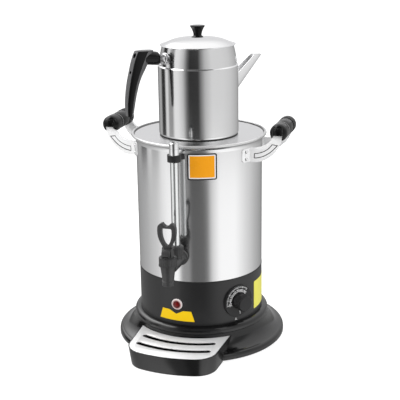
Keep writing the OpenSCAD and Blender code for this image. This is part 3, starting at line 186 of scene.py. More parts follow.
class Board:
    """The node tree of one material or of the world"""

    def __init__(self, tree):
        self.tree = tree
        tree.nodes.clear()

    def link(self, value, socket):
        """Links a value to a socket, or sets a plain number or colour on it"""
        if isinstance(value, Value):
            value = value.source
        if isinstance(value, bpy.types.NodeSocket):
            self.tree.links.new(value, socket)
        elif hasattr(socket.default_value, "__len__"):
            rgba = tuple(value)
            socket.default_value = rgba + (1.0,) * (len(socket.default_value) - len(rgba))
        else:
            socket.default_value = value

    def node(self, kind, settings=None, inputs=None):
        """Adds a node: its settings first, then the values or links of its sockets"""
        made = self.tree.nodes.new(kind)
        for key, value in (settings or {}).items():
            if key == "stops":
                ramp = made.color_ramp
                while len(ramp.elements) > 1:
                    ramp.elements.remove(ramp.elements[-1])
                for i, (place, colour) in enumerate(value):
                    element = ramp.elements[0] if i == 0 else ramp.elements.new(place)
                    element.position = place
                    element.color = (*colour, 1.0)
            else:
                setattr(made, key, value)
        for key, value in (inputs or {}).items():
            self.link(value, made.inputs[key])
        return made

    def value(self, kind, settings=None, inputs=None, output=0):
        return Value(self, self.node(kind, settings, inputs).outputs[output])

    def place(self, centre=(0, 0, 0), stretch=(1, 1, 1)):
        """Object coordinates, centred and stretched for a pattern"""
        where = self.node("ShaderNodeTexCoord").outputs["Object"]
        mapping = self.node("ShaderNodeMapping", {"vector_type": "POINT"},
                            {"Vector": where, "Scale": stretch,
                             "Location": tuple(-c * s for c, s in zip(centre, stretch))})
        return mapping.outputs[0]

    def parts(self, vector):
        node = self.node("ShaderNodeSeparateXYZ", None, {0: vector})
        return [Value(self, out) for out in node.outputs]

    def noise(self, vector, scale, detail, roughness=0.5):
        return self.value("ShaderNodeTexNoise", {"noise_dimensions": "3D"},
                          {"Vector": vector, "Scale": scale, "Detail": detail,
                           "Roughness": roughness})

    def mix(self, factor, first, second):
        node = self.node("ShaderNodeMix", {"data_type": "RGBA"},
                         {0: factor, 6: first, 7: second})
        return node.outputs[2]

    def bump(self, height, strength, distance):
        return self.node("ShaderNodeBump", None,
                         {"Height": height, "Strength": strength, "Distance": distance}).outputs[0]

    def surface(self, **sockets):
        """A Principled surface on the output, its sockets given by name"""
        names = {"colour": "Base Color", "metal": "Metallic", "rough": "Roughness",
                 "coat": "Coat Weight", "coat_rough": "Coat Roughness", "ior": "IOR",
                 "through": "Transmission Weight", "normal": "Normal",
                 "specular": "Specular IOR Level"}
        shader = self.node("ShaderNodeBsdfPrincipled", None,
                           {names[key]: value for key, value in sockets.items()})
        self.node("ShaderNodeOutputMaterial", None, {"Surface": shader.outputs[0]})


def material(name, paint):
    """A new material whose nodes the function paint draws"""
    made = bpy.data.materials.new(name)
    made.use_nodes = True
    paint(Board(made.node_tree))
    return made


def scaled(colour, share):
    """A colour made darker or paler, and no more than white"""
    return tuple(min(1.0, c * share) for c in colour)


# ---------- finishes ----------


def turned_steel(tint, rough, grain=900.0, bead=None, foot=None):
    """Polished sheet with a fine grain round the vessel

    A rolled bead (its inner radius and lowest height) gets painted shade inside and a painted
    highlight outside; a foot (its height) gets a dark band of painted shadow where it stands.
    """
    def paint(b):
        lines = b.noise(b.place(stretch=(6, 6, grain)), 1.0, 4, 0.65)
        clouds = b.noise(b.place(), 9.0, 3)
        wipes = b.noise(b.place(stretch=(3, 3, 28)), 1.0, 2)
        worn = lines * 0.5 + clouds * 0.3 + wipes * 0.2
        colour = b.mix(worn, scaled(tint, 0.955), scaled(tint, 1.03))
        x, y, height = b.parts(b.place())
        metal = 1.0
        if foot:
            # Painted shadow: a dark band along the foot, where it stands on the lid
            colour = b.mix(height.between(foot + 0.0013, foot + 0.0024), scaled(tint, 0.06), colour)
        if bead:
            radius, z = bead
            reach = (x * x + y * y) ** 0.5
            # Painted light: the bead's inner side is tinted dark as shade, its outer side paler and
            # less metallic as a highlight
            painted_highlight_side = reach.between(radius + 0.0012, radius + 0.0026)
            rolled = (reach > radius) * (height > z)
            colour = b.mix(rolled, colour, b.mix(painted_highlight_side, scaled(tint, 0.26), scaled(tint, 0.82)))
            metal = 1.0 - rolled * painted_highlight_side * 0.45
        b.surface(colour=colour, metal=metal,
                  rough=rough - 0.035 + 0.07 * worn, normal=b.bump(lines, 0.05, 0.0002))
    return paint


def spun_steel(tint, rough):
    """Flat sheet with grain in rings about an upright axis"""
    def paint(b):
        x, y, _z = b.parts(b.place())
        radius = (x * x + y * y) ** 0.5
        along = b.node("ShaderNodeCombineXYZ", None,
                       {0: radius * 1500.0, 1: x.angle_to(y) * 2.0}).outputs[0]
        rings = b.noise(along, 1.0, 3, 0.7)
        clouds = b.noise(b.place(), 14.0, 2)
        worn = rings * 0.6 + clouds * 0.4
        b.surface(colour=b.mix(worn, scaled(tint, 0.95), scaled(tint, 1.02)), metal=1.0,
                  rough=rough - 0.04 + 0.08 * worn, normal=b.bump(rings, 0.06, 0.0002))
    return paint


def plated(tint, rough, ripple=0.05):
    """Polished plating over a casting, with a slight ripple"""
    def paint(b):
        swell = b.noise(b.place(), 130.0, 2)
        haze = b.noise(b.place(), 600.0, 3)
        b.surface(colour=b.mix(haze, scaled(tint, 0.97), tint), metal=1.0,
                  rough=rough + 0.05 * haze, normal=b.bump(swell, ripple, 0.0006))
    return paint


def casting(tint, rough):
    """Bright aluminium casting, tumbled smooth: part mirror, part pale skin"""
    def paint(b):
        swell = b.noise(b.place(), 90.0, 2)
        haze = b.noise(b.place(), 500.0, 3)
        b.surface(colour=b.mix(haze, scaled(tint, 0.95), tint), metal=0.12,
                  rough=rough + 0.08 * haze, coat=0.6, coat_rough=0.08,
                  normal=b.bump(swell, 0.05, 0.0006))
    return paint


def tray_sheet(tint, rough):
    """Satin sheet with a straight grain, pale under the light"""
    def paint(b):
        lines = b.noise(b.place(stretch=(12, 1400, 12)), 1.0, 3, 0.7)
        streaks = b.noise(b.place(stretch=(34, 9, 9)), 1.0, 3)
        worn = lines * 0.5 + streaks * 0.5
        b.surface(colour=b.mix(worn, scaled(tint, 0.88), scaled(tint, 1.08)), metal=0.35,
                  rough=rough - 0.06 + 0.12 * worn, normal=b.bump(lines, 0.06, 0.0002))
    return paint


def moulding(colour, rough, grain=1800.0, depth=0.12, coat=0.0, dust=0.35, shine=0.5):
    """Moulded plastic: an even spark-grain, with handling marks in the gloss"""
    def paint(b):
        spark = b.noise(b.place(), grain, 2, 0.6)
        marks = b.noise(b.place(stretch=(1, 1, 2)), 28.0, 4)
        b.surface(colour=b.mix(marks, scaled(colour, 0.88), scaled(colour, 1.0 + dust)),
                  rough=rough - 0.05 + 0.1 * marks, coat=coat, coat_rough=0.06, specular=shine,
                  normal=b.bump(spark, depth, 0.0002))
    return paint


def enamelled(colour, rough):
    """Stove enamel: faint orange peel and a coat of gloss"""
    def paint(b):
        peel = b.noise(b.place(), 420.0, 2, 0.45)
        clouds = b.noise(b.place(), 7.0, 3)
        b.surface(colour=b.mix(clouds, scaled(colour, 0.9), scaled(colour, 1.12)),
                  rough=rough - 0.03 + 0.06 * clouds, coat=0.1, coat_rough=0.12, specular=0.4,
                  normal=b.bump(peel, 0.06, 0.0004))
    return paint


def printed(colour, rough=0.32):
    """Ink on a foil label: a fine mottling and soft scuffs"""
    def paint(b):
        mottle = b.noise(b.place(), 900.0, 2)
        scuff = b.noise(b.place(), 60.0, 4)
        wear_mask = mottle * 0.5 + scuff * 0.5
        b.surface(colour=b.mix(wear_mask, scaled(colour, 0.95), scaled(colour, 1.03)),
                  rough=rough - 0.05 + 0.1 * scuff, specular=0.2,
                  normal=b.bump(mottle, 0.05, 0.0001))
    return paint


def gauge_glass(b):
    """Thick-walled gauge tube full of water: silvery, with painted dark edges that stand in for its
    dark refraction where it is seen edge-on
    """
    streak = b.noise(b.place(stretch=(60, 60, 6)), 1.0, 2)
    facing = b.value("ShaderNodeLayerWeight", None, {"Blend": 0.5}, 1)
    clear = b.mix(streak, (0.84, 0.86, 0.86), (0.92, 0.93, 0.93))
    # Painted shade: the colour turns dark where the tube is seen edge-on
    b.surface(colour=b.mix(facing.between(0.36, 0.58), clear, (0.10, 0.10, 0.105)),
              metal=0.75, rough=0.05 + 0.03 * streak, through=0.7, ior=1.45)


def lamp_red(b):
    """Red prismatic lens, darker towards its rim"""
    centre = (math.sin(LAMP_TURN) * TANK_R, -math.cos(LAMP_TURN) * TANK_R, CONTROL_Z)
    x, _y, z = b.parts(b.place(centre))
    radius = (x * x + z * z) ** 0.5
    cells = b.value("ShaderNodeTexVoronoi", {"feature": "F1"},
                    {"Vector": b.place(), "Scale": 520.0})
    rim = radius.between(0.002, 0.0062)
    facets = b.mix(cells, (0.24, 0.004, 0.003), (0.06, 0.001, 0.001))
    b.surface(colour=b.mix(rim, facets, (0.07, 0.002, 0.002)), rough=0.12 + 0.1 * cells, coat=0.15,
              coat_rough=0.05, specular=0.3, normal=b.bump(cells, 0.3, 0.0004))


def pink_clear(b):
    """Clear pink surround of the lamp, paler where it turns over its rim"""
    x, _y, z = b.parts(b.place((math.sin(LAMP_TURN) * TANK_R, 0, CONTROL_Z)))
    radius = (x * x + z * z) ** 0.5
    edge = radius.between(0.0068, 0.0098)
    haze = b.noise(b.place(), 300.0, 3)
    b.surface(colour=b.mix(edge, (0.34, 0.13, 0.12), (0.74, 0.68, 0.67)), rough=0.12 + 0.12 * haze,
              coat=0.3, coat_rough=0.08)


def make_finishes(s):
    """One material for each material slot of the record, and those of single pieces"""
    steel, rough = tuple(s.steel_tint), s.steel_roughness
    paints = {
        "satin_steel": ("tank_steel", turned_steel(steel, rough)),
        "tank": ("tank_wall", turned_steel(steel, rough, bead=BEAD)),
        "pot_steel": ("teapot_steel", turned_steel(steel, 0.12, foot=POT_FOOT)),
        "lid_steel": ("lid_steel", spun_steel(scaled(steel, 0.96), 0.22)),
        "tray_steel": ("tray_steel", tray_sheet((0.86, 0.86, 0.865), 0.42)),
        "element_steel": ("element_steel", turned_steel((0.34, 0.33, 0.33), 0.42, 200)),
        "bright_steel": ("bright_bar", plated((0.72, 0.72, 0.73), 0.18)),
        "zinc_plate": ("zinc_plate", plated((0.62, 0.63, 0.66), 0.32, 0.1)),
        "brass": ("brass", plated((0.62, 0.42, 0.16), 0.26, 0.1)),
        "chrome": ("plated_casting", plated(tuple(s.chrome_tint), 0.07)),
        "casting": ("bright_casting", casting(tuple(s.chrome_tint), 0.2)),
        # Near-black for the arms' bevels and the rims of their panels: painted shade
        "casting_painted_shade": ("casting_painted_shade", moulding((0.03, 0.03, 0.031), 0.5, shine=0.1)),
        "black_enamel": ("base_enamel", enamelled(tuple(s.enamel), 0.33)),
        "rubber": ("rubber", moulding((0.012, 0.012, 0.012), 0.6, 900, 0.2)),
        "gloss_black_plastic": ("gloss_moulding",
                                moulding(tuple(s.gloss_black), 0.13, 2200, 0.03, coat=0.1)),
        "matte_black_plastic": ("matt_moulding", moulding((0.014, 0.014, 0.0145), 0.36, shine=0.3)),
        "grey_plastic": ("tap_moulding", moulding(tuple(s.tap_grey), 0.34, 1500, 0.12, shine=0.4)),
        "ivory_plastic": ("ivory_moulding", moulding((0.62, 0.56, 0.42), 0.45, dust=0.05)),
        "white_plastic": ("white_moulding", moulding((0.74, 0.74, 0.72), 0.4, dust=0.03)),
        "grip": ("grip_moulding", moulding((0.003, 0.003, 0.0031), 0.18, 2400, 0.03, shine=0.18)),
        # Pale grey on the grips' rounded seams: a painted highlight
        "grip_painted_highlight": ("grip_painted_highlight", moulding((0.22, 0.22, 0.222), 0.2, 2400, 0.02)),
        "bakelite": ("bakelite", moulding((0.004, 0.004, 0.0042), 0.13, 2400, 0.02, shine=0.2)),
        # Paler grey on some handle facets: a painted highlight
        "bakelite_painted_sheen": ("bakelite_painted_highlight", moulding((0.10, 0.10, 0.102), 0.3, 1200, 0.05, shine=0.3)),
        # Near-black for the walls of holes and the edges of pressed slots: painted shade
        "painted_recess_shade": ("painted_recess_shade", moulding((0.002, 0.002, 0.002), 0.5, 1200, 0.05, shine=0.1)),
        "clear_pink": ("lamp_surround", pink_clear),
        "red_lens": ("lamp_lens", lamp_red),
        "glass": ("gauge_glass", gauge_glass),
        "ink_dark": ("ink_dark", printed((0.016, 0.016, 0.017))),
        "ink_white": ("ink_white", printed((0.80, 0.80, 0.80))),
        "ink_orange": ("ink_orange", printed(tuple(s.plate_orange), 0.28)),
        "ink_yellow": ("ink_yellow", printed(tuple(s.label_yellow))),
        "ink_pale": ("ink_pale", printed(tuple(s.side_yellow))),
    }
    return {slot: material(name, paint) for slot, (name, paint) in paints.items()}


# ---------- modelling helpers ----------


def only(*objects):
    """Selects these objects alone, the first of them active"""
    bpy.ops.object.select_all(action="DESELECT")
    for obj in objects:
        obj.select_set(True)
    bpy.context.view_layer.objects.active = objects[0]


def primitive(kind, name, **options):
    """Adds a primitive by its operator and names it"""
    bpy.ops.object.select_all(action="DESELECT")
    getattr(bpy.ops.mesh, f"primitive_{kind}_add")(**options)
    made = bpy.context.view_layer.objects.active
    made.name = name
    made.data.name = name
    return made


@contextmanager
def editing(obj, mode="FACE", whole=False):
    """Opens an object's mesh for edit operators, with all of it selected where whole is true"""
    only(obj)
    bpy.ops.object.mode_set(mode="EDIT")
    bpy.ops.mesh.select_mode(type=mode)
    if whole:
        bpy.ops.mesh.select_all(action="SELECT")
    yield
    bpy.ops.object.mode_set(mode="OBJECT")


def pick(obj, what, test):
    """In edit mode, selects the faces, edges or verts for which test is true"""
    shape = bmesh.from_edit_mesh(obj.data)
    for part in (*shape.faces, *shape.edges, *shape.verts):
        part.select = False
    for part in list(getattr(shape, what)):
        if test(part):
            part.select_set(True)
    shape.select_flush_mode()
    bmesh.update_edit_mesh(obj.data)


def apply_modifier(obj, kind, **settings):
    """Adds a modifier with these settings and applies it"""
    only(obj)
    modifier = obj.modifiers.new(kind.title(), kind)
    for key, value in settings.items():
        setattr(modifier, key, value)
    bpy.ops.object.modifier_apply(modifier=modifier.name)


def bevel(obj, width, segments, degrees, **settings):
    """Rounds the edges of a piece that are sharper than this angle"""
    apply_modifier(obj, "BEVEL", width=width, segments=segments, limit_method="ANGLE",
                   angle_limit=math.radians(degrees), **settings)


def settle(obj):
    """Puts the place, turn and scale of an object into its mesh"""
    only(obj)
    bpy.ops.object.transform_apply(location=True, rotation=True, scale=True)


def sized(kind, name, size, place=(0, 0, 0)):
    """A plane or cube of this size at its place"""
    made = primitive(kind, name, size=1)
    made.scale, made.location = size, place
    settle(made)
    return made


def smooth(obj, degrees):
    """Shades a piece smooth over all but its sharp edges"""
    only(obj)
    bpy.ops.object.shade_smooth_by_angle(angle=math.radians(degrees))


def outwards_matrix(turn, radius, z):
    """From a flat piece in XY, facing +Z, to the wall: bearing turn from the front towards +X"""
    return (Matrix.Rotation(turn, 4, "Z") @ Matrix.Translation((0, -radius, z))
            @ Matrix.Rotation(QUARTER, 4, "X"))


def put(obj, matrix):
    """Moves a piece by this matrix, with the result in its mesh"""
    obj.matrix_world = matrix @ obj.matrix_world
    settle(obj)


def wear(obj, *materials):
    """Gives a piece these materials and no other"""
    obj.data.materials.clear()
    for made in materials:
        obj.data.materials.append(made)


def join(objects, name):
    """Makes one piece of several, unmerged"""
    only(*objects)
    bpy.ops.object.join()
    objects[0].name = name
    objects[0].data.name = name
    return objects[0]


def cut_at(obj, *places):
    """Cuts a flat piece across at these values of x"""
    with editing(obj):
        for x in places:
            bpy.ops.mesh.select_all(action="SELECT")
            bpy.ops.mesh.bisect(plane_co=(x, 0, 0), plane_no=(1, 0, 0))


def wrap(obj, degrees, z, thickness=0.0003, strips=24):
    """Thickens a flat piece, bends it round the tank and moves it to its bearing in degrees"""
    wide = obj.dimensions.x
    cut_at(obj, *[wide * (i / strips - 0.5) for i in range(1, strips)])
    apply_modifier(obj, "SOLIDIFY", thickness=thickness, offset=1.0)
    put(obj, Matrix.Rotation(QUARTER, 4, "X"))
    apply_modifier(obj, "SIMPLE_DEFORM", deform_method="BEND", deform_axis="Z",
                   angle=wide / TANK_R)
    put(obj, Matrix.Rotation(math.radians(degrees), 4, "Z")
        @ Matrix.Translation((0, -TANK_R, z)))
    smooth(obj, 30)


def assign(obj, index, test):
    """Gives the faces for which test is true the material at this index"""
    with editing(obj):
        pick(obj, "faces", test)
        obj.active_material_index = index
        bpy.ops.object.material_slot_assign()


def combine(obj, other, operation):
    """Joins, cuts or meets two closed pieces; the second is used up"""
    apply_modifier(obj, "BOOLEAN", operation=operation, solver="EXACT", object=other,
                   material_mode="TRANSFER")
    bpy.data.objects.remove(other)


def lathe(name, outline, steps):
    """Spins an outline of (radius, height) points round the upright axis"""
    made = primitive("plane", name, size=0.001)
    with editing(made, "VERT", whole=True):
        bpy.ops.mesh.merge(type="CENTER")
        bpy.ops.transform.translate(value=(outline[0][0], 0, outline[0][1]))
        for (r0, z0), (r1, z1) in zip(outline, outline[1:]):
            bpy.ops.mesh.extrude_region_move(
                TRANSFORM_OT_translate={"value": (r1 - r0, 0, z1 - z0)})
        bpy.ops.mesh.select_all(action="SELECT")
        bpy.ops.mesh.spin(steps=steps, angle=2 * math.pi, center=(0, 0, 0), axis=(0, 0, 1))
        bpy.ops.mesh.select_all(action="SELECT")
        bpy.ops.mesh.remove_doubles(threshold=1e-6)
        bpy.ops.mesh.normals_make_consistent(inside=False)
    return made


def through(knots, t):
    """A smooth value through evenly spaced knots, at t from 0 to 1"""
    last = len(knots) - 1
    i = min(int(t * last), last - 1)
    u = t * last - i
    a, b, c, d = (knots[min(max(i + k, 0), last)] for k in (-1, 0, 1, 2))
    return 0.5 * (2 * b + (c - a) * u + (2 * a - 5 * b + 4 * c - d) * u * u
                  + (3 * b - a - 3 * c + d) * u ** 3)


def drawn(knots, steps):
    """Points of a smooth line through (radius, height) knots"""
    return [tuple(through([k[axis] for k in knots], i / steps) for axis in (0, 1))
            for i in range(steps + 1)]


def sheet(name, width, height, corner, segments=5):
    """A flat sheet facing +Z with rounded corners"""
    made = sized("plane", name, (width, height, 1))
    with editing(made, "VERT", whole=True):
        bpy.ops.mesh.bevel(offset=corner, segments=segments, affect="VERTICES")
    return made


def framed(obj, *rings):
    """Insets the middle of a flat sheet by each width and gives it that material's index"""
    with editing(obj, whole=True):
        for width, index in rings:
            bpy.ops.mesh.inset(thickness=width)
            obj.active_material_index = index
            bpy.ops.object.material_slot_assign()


def hand_over(obj, body, slot, *nodes, mirrored=True):
    """A finished piece rides on its body, and may stand for CAD nodes; some aren't mirrored"""
    obj.visible_glossy = mirrored
    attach(obj, body)
    if nodes:
        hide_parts(*nodes)


def rounded_copy(node, name, radius, finishes, angle, segments, prepare=None):
    """A merged copy of a CAD node with its sharp edges rounded, in the second finish if given"""
    source = frame["nodes"][node]
    made = bpy.data.objects.new(name, source.data.copy())
    bpy.context.scene.collection.objects.link(made)
    wear(made, *finishes)
    with editing(made, "VERT", whole=True):
        bpy.ops.mesh.customdata_custom_splitnormals_clear()
        bpy.ops.mesh.remove_doubles(threshold=2e-6)
        bpy.ops.mesh.dissolve_limited(angle_limit=math.radians(0.6))
    if prepare:
        prepare(made)
    bevel(made, radius, segments, angle, miter_outer="MITER_ARC",
          material=1 if len(finishes) > 1 else -1)
    smooth(made, angle)
    return made


# The materials by name, once the finishes are made
FINISH = {}


# ---------- operators ----------


class UrnStage(bpy.types.Operator):
    """White sweep, soft light and the studio's reflections, with the camera"""

    bl_idname = "urn.stage"
    bl_label = "Studio"

    # Where the camera stands, and its bearing, fall and roll in degrees
    CAMERA_AT = (0.5129, -1.6267, 0.7704)
    BEARING, FALL, ROLL = 17.5, 16.77, -0.85
    LENS = 86.13
    # Name, place, size, power and colour of each lamp
    LAMPS = (("key", (-1.5, -1.6, 1.9), 1.6, 26, (1, 0.995, 0.985)),
             ("fill", (1.9, -0.9, 1.3), 1.5, 12, (0.985, 0.99, 1)),
             ("top", (0.1, 0.3, 2.3), 1.6, 16, (1, 1, 1)))
    MIDDLE = Vector((0, 0, 0.25))
    # What the gloss sees round the horizon: bearings in degrees from the camera's, with a level
    LOW = ((-180, 0.22), (-116, 0.52), (-86, 0.74), (-62, 1.1), (-43, 1.2), (-35, 0.38),
           (-21, 0.33), (-16, 0.14), (6, 0.15), (13, 0.24), (21, 0.78), (36, 1.2),
           (67, 1.2), (90, 0.9), (120, 0.57), (160, 0.28), (180, 0.32))
    HIGH = ((-180, 0.10), (-165, 0.14), (-142, 0.46), (-132, 0.40), (-126, 0.03),
            (-111, 0.03), (-106, 0.78), (-98, 0.85), (-93, 0.34), (-80, 0.30), (-73, 0.92),
            (-60, 0.88), (-46, 0.62), (-34, 0.16), (-26, 0.03), (0, 0.04), (8, 0.24),
            (20, 0.55), (40, 0.78), (76, 0.78), (102, 0.72), (138, 0.52), (165, 0.30),
            (180, 0.10))
    CEILING = ((-180, 1.22), (-168, 1.22), (-156, 4.5), (-100, 4.5), (-93, 1.22), (180, 1.22))
    SOFTBOXES = ((-180, 0.4), (-112, 0.5), (-104, 2.0), (-62, 2.0), (-56, 0.26), (28, 0.24),
                 (34, 1.2), (52, 1.2), (58, 0.4), (180, 0.4))
    DOME = 0.94

    def place_camera(self, context):
        camera_data = bpy.data.cameras.new("camera")
        camera_data.sensor_width = 36
        camera_data.lens = self.LENS
        camera_data.clip_start = 0.05
        camera_data.clip_end = 60
        camera = bpy.data.objects.new("camera", camera_data)
        context.scene.collection.objects.link(camera)
        camera.matrix_world = (Matrix.Translation(self.CAMERA_AT)
                               @ Matrix.Rotation(math.radians(self.BEARING), 4, "Z")
                               @ Matrix.Rotation(math.radians(90 - self.FALL), 4, "X")
                               @ Matrix.Rotation(math.radians(self.ROLL), 4, "Z"))
        context.scene.camera = camera

    def hang_lamps(self, context):
        for name, place, size, power, colour in self.LAMPS:
            lamp = bpy.data.lights.new(name, "AREA")
            lamp.energy, lamp.size, lamp.color = power, size, colour
            holder = bpy.data.objects.new(name, lamp)
            context.scene.collection.objects.link(holder)
            holder.location = place
            aim = (self.MIDDLE - Vector(place)).to_track_quat("-Z", "Y")
            holder.rotation_euler = aim.to_euler()
            holder.visible_glossy = False

    def light_world(self, context):
        """White to the camera, an even dome for the light, cards and flags to the gloss"""
        world = bpy.data.worlds.new("studio")
        context.scene.world = world
        world.use_nodes = True
        b = Board(world.node_tree)
        x, y, z = b.parts(b.node("ShaderNodeTexCoord").outputs["Generated"])
        turn = math.radians(self.BEARING)
        ahead = x * math.sin(turn) - y * math.cos(turn)
        aside = x * math.cos(turn) + y * math.sin(turn)
        bearing = aside.angle_to(ahead) / (2 * math.pi) + 0.5
        flat = (ahead * ahead + aside * aside) ** 0.5
        height = z.angle_to(flat) * (180 / math.pi)

        def cards(stops):
            return b.node("ShaderNodeValToRGB",
                          {"stops": [((degrees + 180) / 360, (level,) * 3)
                                     for degrees, level in stops]}, {0: bearing}).outputs[0]

        # In degrees from the floor up: a dark floor, low and high cards, then the sky, whose foot
        # is higher abreast of the object and highest on the camera's side; the zenith is dark
        facing = (ahead / flat).between(-0.1, 0.3)
        abreast = (ahead / flat).between(-0.98, -0.88)
        walls = b.mix(height.between(-14.6, -13.4), cards(self.LOW), cards(self.HIGH))
        walls = b.mix(height.between(-70, -56), (0.03, 0.03, 0.03), walls)
        behind = b.mix(height.between(12, 50), (0.80, 0.80, 0.81), cards(self.CEILING))
        ahead_sky = b.mix(height.between(56, 60), cards(self.SOFTBOXES), (0.34, 0.34, 0.34))
        sky = b.mix(facing, behind, ahead_sky)
        sky = b.mix(height.between(64, 70), sky, (0.10, 0.10, 0.10))
        sky_foot = (height - abreast * 16.0 - facing * 11.0).between(-7.5, -4.0)
        room = b.mix(sky_foot, walls, sky)
        path = b.node("ShaderNodeLightPath")
        shiny = Value(b, path.outputs["Is Glossy Ray"]).larger(
            Value(b, path.outputs["Is Transmission Ray"]))

        def glow(colour, strength=1.0):
            return b.node("ShaderNodeBackground", None, {0: colour, 1: strength}).outputs[0]

        def either(mask, first, second):
            return b.node("ShaderNodeMixShader", None, {0: mask, 1: first, 2: second}).outputs[0]

        light = either(shiny, glow((1, 1, 1), self.DOME), glow(room))
        seen = either(path.outputs["Is Camera Ray"], light, glow((1, 1, 1)))
        b.node("ShaderNodeOutputWorld", None, {0: seen})

    def make_floor(self):
        floor = primitive("circle", "floor", vertices=96, radius=9.0, fill_type="NGON",
                          location=(0, 0, -0.0004))
        settle(floor)

        def paint(b):
            path = b.node("ShaderNodeLightPath")
            grain = b.noise(b.place(), 40.0, 2)
            paper = b.node("ShaderNodeBsdfDiffuse", None,
                           {0: b.mix(grain, (0.50, 0.50, 0.50), (0.52, 0.52, 0.52))})
            glow = b.node("ShaderNodeEmission", None,
                          {0: (1, 1, 1), 1: Value(b, path.outputs["Is Camera Ray"]) * 0.70})
            both = b.node("ShaderNodeAddShader", None, {0: paper.outputs[0], 1: glow.outputs[0]})
            b.node("ShaderNodeOutputMaterial", None, {0: both.outputs[0]})

        wear(floor, material("floor_paper", paint))
        floor.visible_glossy = False

    def execute(self, context):
        context.scene.view_settings.view_transform = "Standard"
        self.place_camera(context)
        self.light_world(context)
        self.make_floor()
        self.hang_lamps(context)
        return {"FINISHED"}


class UrnFinishes(bpy.types.Operator):
    """Gives every CAD node the finish of its material slot"""

    bl_idname = "urn.finishes"
    bl_label = "Finishes"

    OWN = {"tray_grid": "tray_steel", "tank": "tank"}
    NOT_MIRRORED = ("tank", "tank_lid", "grip_rods", "handle_rivets", "glass_cap")

    def execute(self, context):
        FINISH.update(make_finishes(context.scene.urn_finish))
        for name, obj in frame["nodes"].items():
            made = FINISH[self.OWN.get(name, SLOTS[name])]
            for place in obj.material_slots:
                place.material = made
        for name in self.NOT_MIRRORED:
            frame["nodes"][name].visible_glossy = False
        return {"FINISHED"}


class UrnLabels(bpy.types.Operator):
    """Front plate, lamp label and side label, all bare, bent to the wall"""

    bl_idname = "urn.labels"
    bl_label = "Labels"

    # Bearing in degrees and height of each label's middle
    PLATE_AT = (19.8, 0.3502)
    LAMP_LABEL_AT = (-6.1, 0.0708)
    SIDE_LABEL_AT = (91.4, 0.0900)
    # Corner radius of the plate, and width and material index of each of its rings
    PLATE_CORNER = 0.0035
    PLATE_RINGS = ((0.0023, 1), (0.0020, 2))
    # Width and height of the labels; the lamp label is narrower at its top, with a notch there
    LAMP_LABEL = (0.0692, 0.0196)
    TOP_SHARE = 0.82
    NOTCH = (0.0136, 0.0068)
    SIDE_LABEL = (0.066, 0.0535)

    def execute(self, context):
        s = context.scene.urn_finish
        plate = sheet("front_plate", s.plate_width, s.plate_height, self.PLATE_CORNER)
        wear(plate, FINISH["ink_dark"], FINISH["ink_white"], FINISH["ink_orange"])
        framed(plate, *self.PLATE_RINGS)
        wrap(plate, *self.PLATE_AT, thickness=0.0006)
        hand_over(plate, "urn", "satin_steel", mirrored=False)

        label = sized("plane", "lamp_label", (*self.LAMP_LABEL, 1))
        half, deep = self.NOTCH
        with editing(label, "VERT"):
            pick(label, "verts", lambda v: v.co.y > 0)
            bpy.ops.transform.resize(value=(self.TOP_SHARE, 1, 1), center_override=(0, 0, 0))
        cut_at(label, -half, 0, half)
        with editing(label, "VERT"):
            pick(label, "verts", lambda v: v.co.y > 0 and abs(v.co.x) < 0.001)
            bpy.ops.transform.translate(value=(0, -deep, 0))
        wear(label, FINISH["ink_yellow"])
        wrap(label, *self.LAMP_LABEL_AT)
        hand_over(label, "urn", "black_enamel", mirrored=False)

        side = sheet("side_label", *self.SIDE_LABEL, corner=0.0012, segments=3)
        wear(side, FINISH["ink_pale"])
        wrap(side, *self.SIDE_LABEL_AT)
        hand_over(side, "urn", "black_enamel")
        return {"FINISHED"}


class UrnDialPrint(bpy.types.Operator):
    """Ticks and plain numbers printed on the dial, with the start mark below it"""

    bl_idname = "urn.dial_print"
    bl_label = "Dial print"

    # Clock angle of the first number and degrees from one to the next; where the mark is
    START, STEP = -101, 24
    NUMBERS = range(30, 91, 10)
    MARK_AT = (50.3, 0.0580)

    def tick(self, name, radius, length, width, clock):
        """A tick at a clock angle in degrees, counted clockwise from the top"""
        made = sized("plane", name, (width, length, 1), (0, radius + length / 2, 0))
        put(made, Matrix.Rotation(math.radians(-clock), 4, "Z"))
        return made

    def row(self, name, radius, length, width, start, sweep, count):
        """A row of ticks, clockwise from the first"""
        made = self.tick(name, radius, length, width, start)
        with editing(made, whole=True):
            bpy.ops.mesh.spin(steps=count - 1, dupli=True, angle=math.radians(sweep),
                              center=(0, 0, 0), axis=(0, 0, 1))
        return made

    def number(self, text, radius, size, clock):
        """A number that stands on a circle, its top outwards"""
        bpy.ops.object.text_add()
        made = bpy.context.view_layer.objects.active
        made.data.body = text
        made.data.align_x = "CENTER"
        made.data.size = size
        made.data.offset = 0.00012
        only(made)
        bpy.ops.object.convert(target="MESH")
        put(made, Matrix.Rotation(math.radians(-clock), 4, "Z")
            @ Matrix.Translation((0, radius, 0)))
        return made

    def execute(self, context):
        start, step = self.START, self.STEP
        fine = self.row("fine", 0.0250, 0.0025, 0.00065, start, step * 6, 37)
        coarse = self.row("coarse", 0.0238, 0.0040, 0.0011, start, step * 6, 7)
        bar = self.tick("bar", 0.0215, 0.0060, 0.0011, start)
        pointer = self.tick("pointer", 0.0202, 0.0055, 0.0010, 174)
        numbers = [self.number(str(degrees), 0.0168, 0.0074, start + step * i)
                   for i, degrees in enumerate(self.NUMBERS)]
        dial = join([fine, coarse, bar, pointer, *numbers], "dial_print")
        wear(dial, FINISH["ink_white"])
        put(dial, outwards_matrix(DIAL_TURN, DIAL_FACE + 0.00006, CONTROL_Z))
        hand_over(dial, "urn", "matte_black_plastic")

        mark = primitive("circle", "start_mark", vertices=3, radius=0.0030, fill_type="NGON")
        wear(mark, FINISH["ink_white"])
        with editing(mark, whole=True):
            bpy.ops.mesh.inset(thickness=0.0006)
            bpy.ops.mesh.delete(type="FACE")
        wrap(mark, *self.MARK_AT, thickness=0.0002, strips=2)
        hand_over(mark, "urn", "black_enamel")
        return {"FINISHED"}


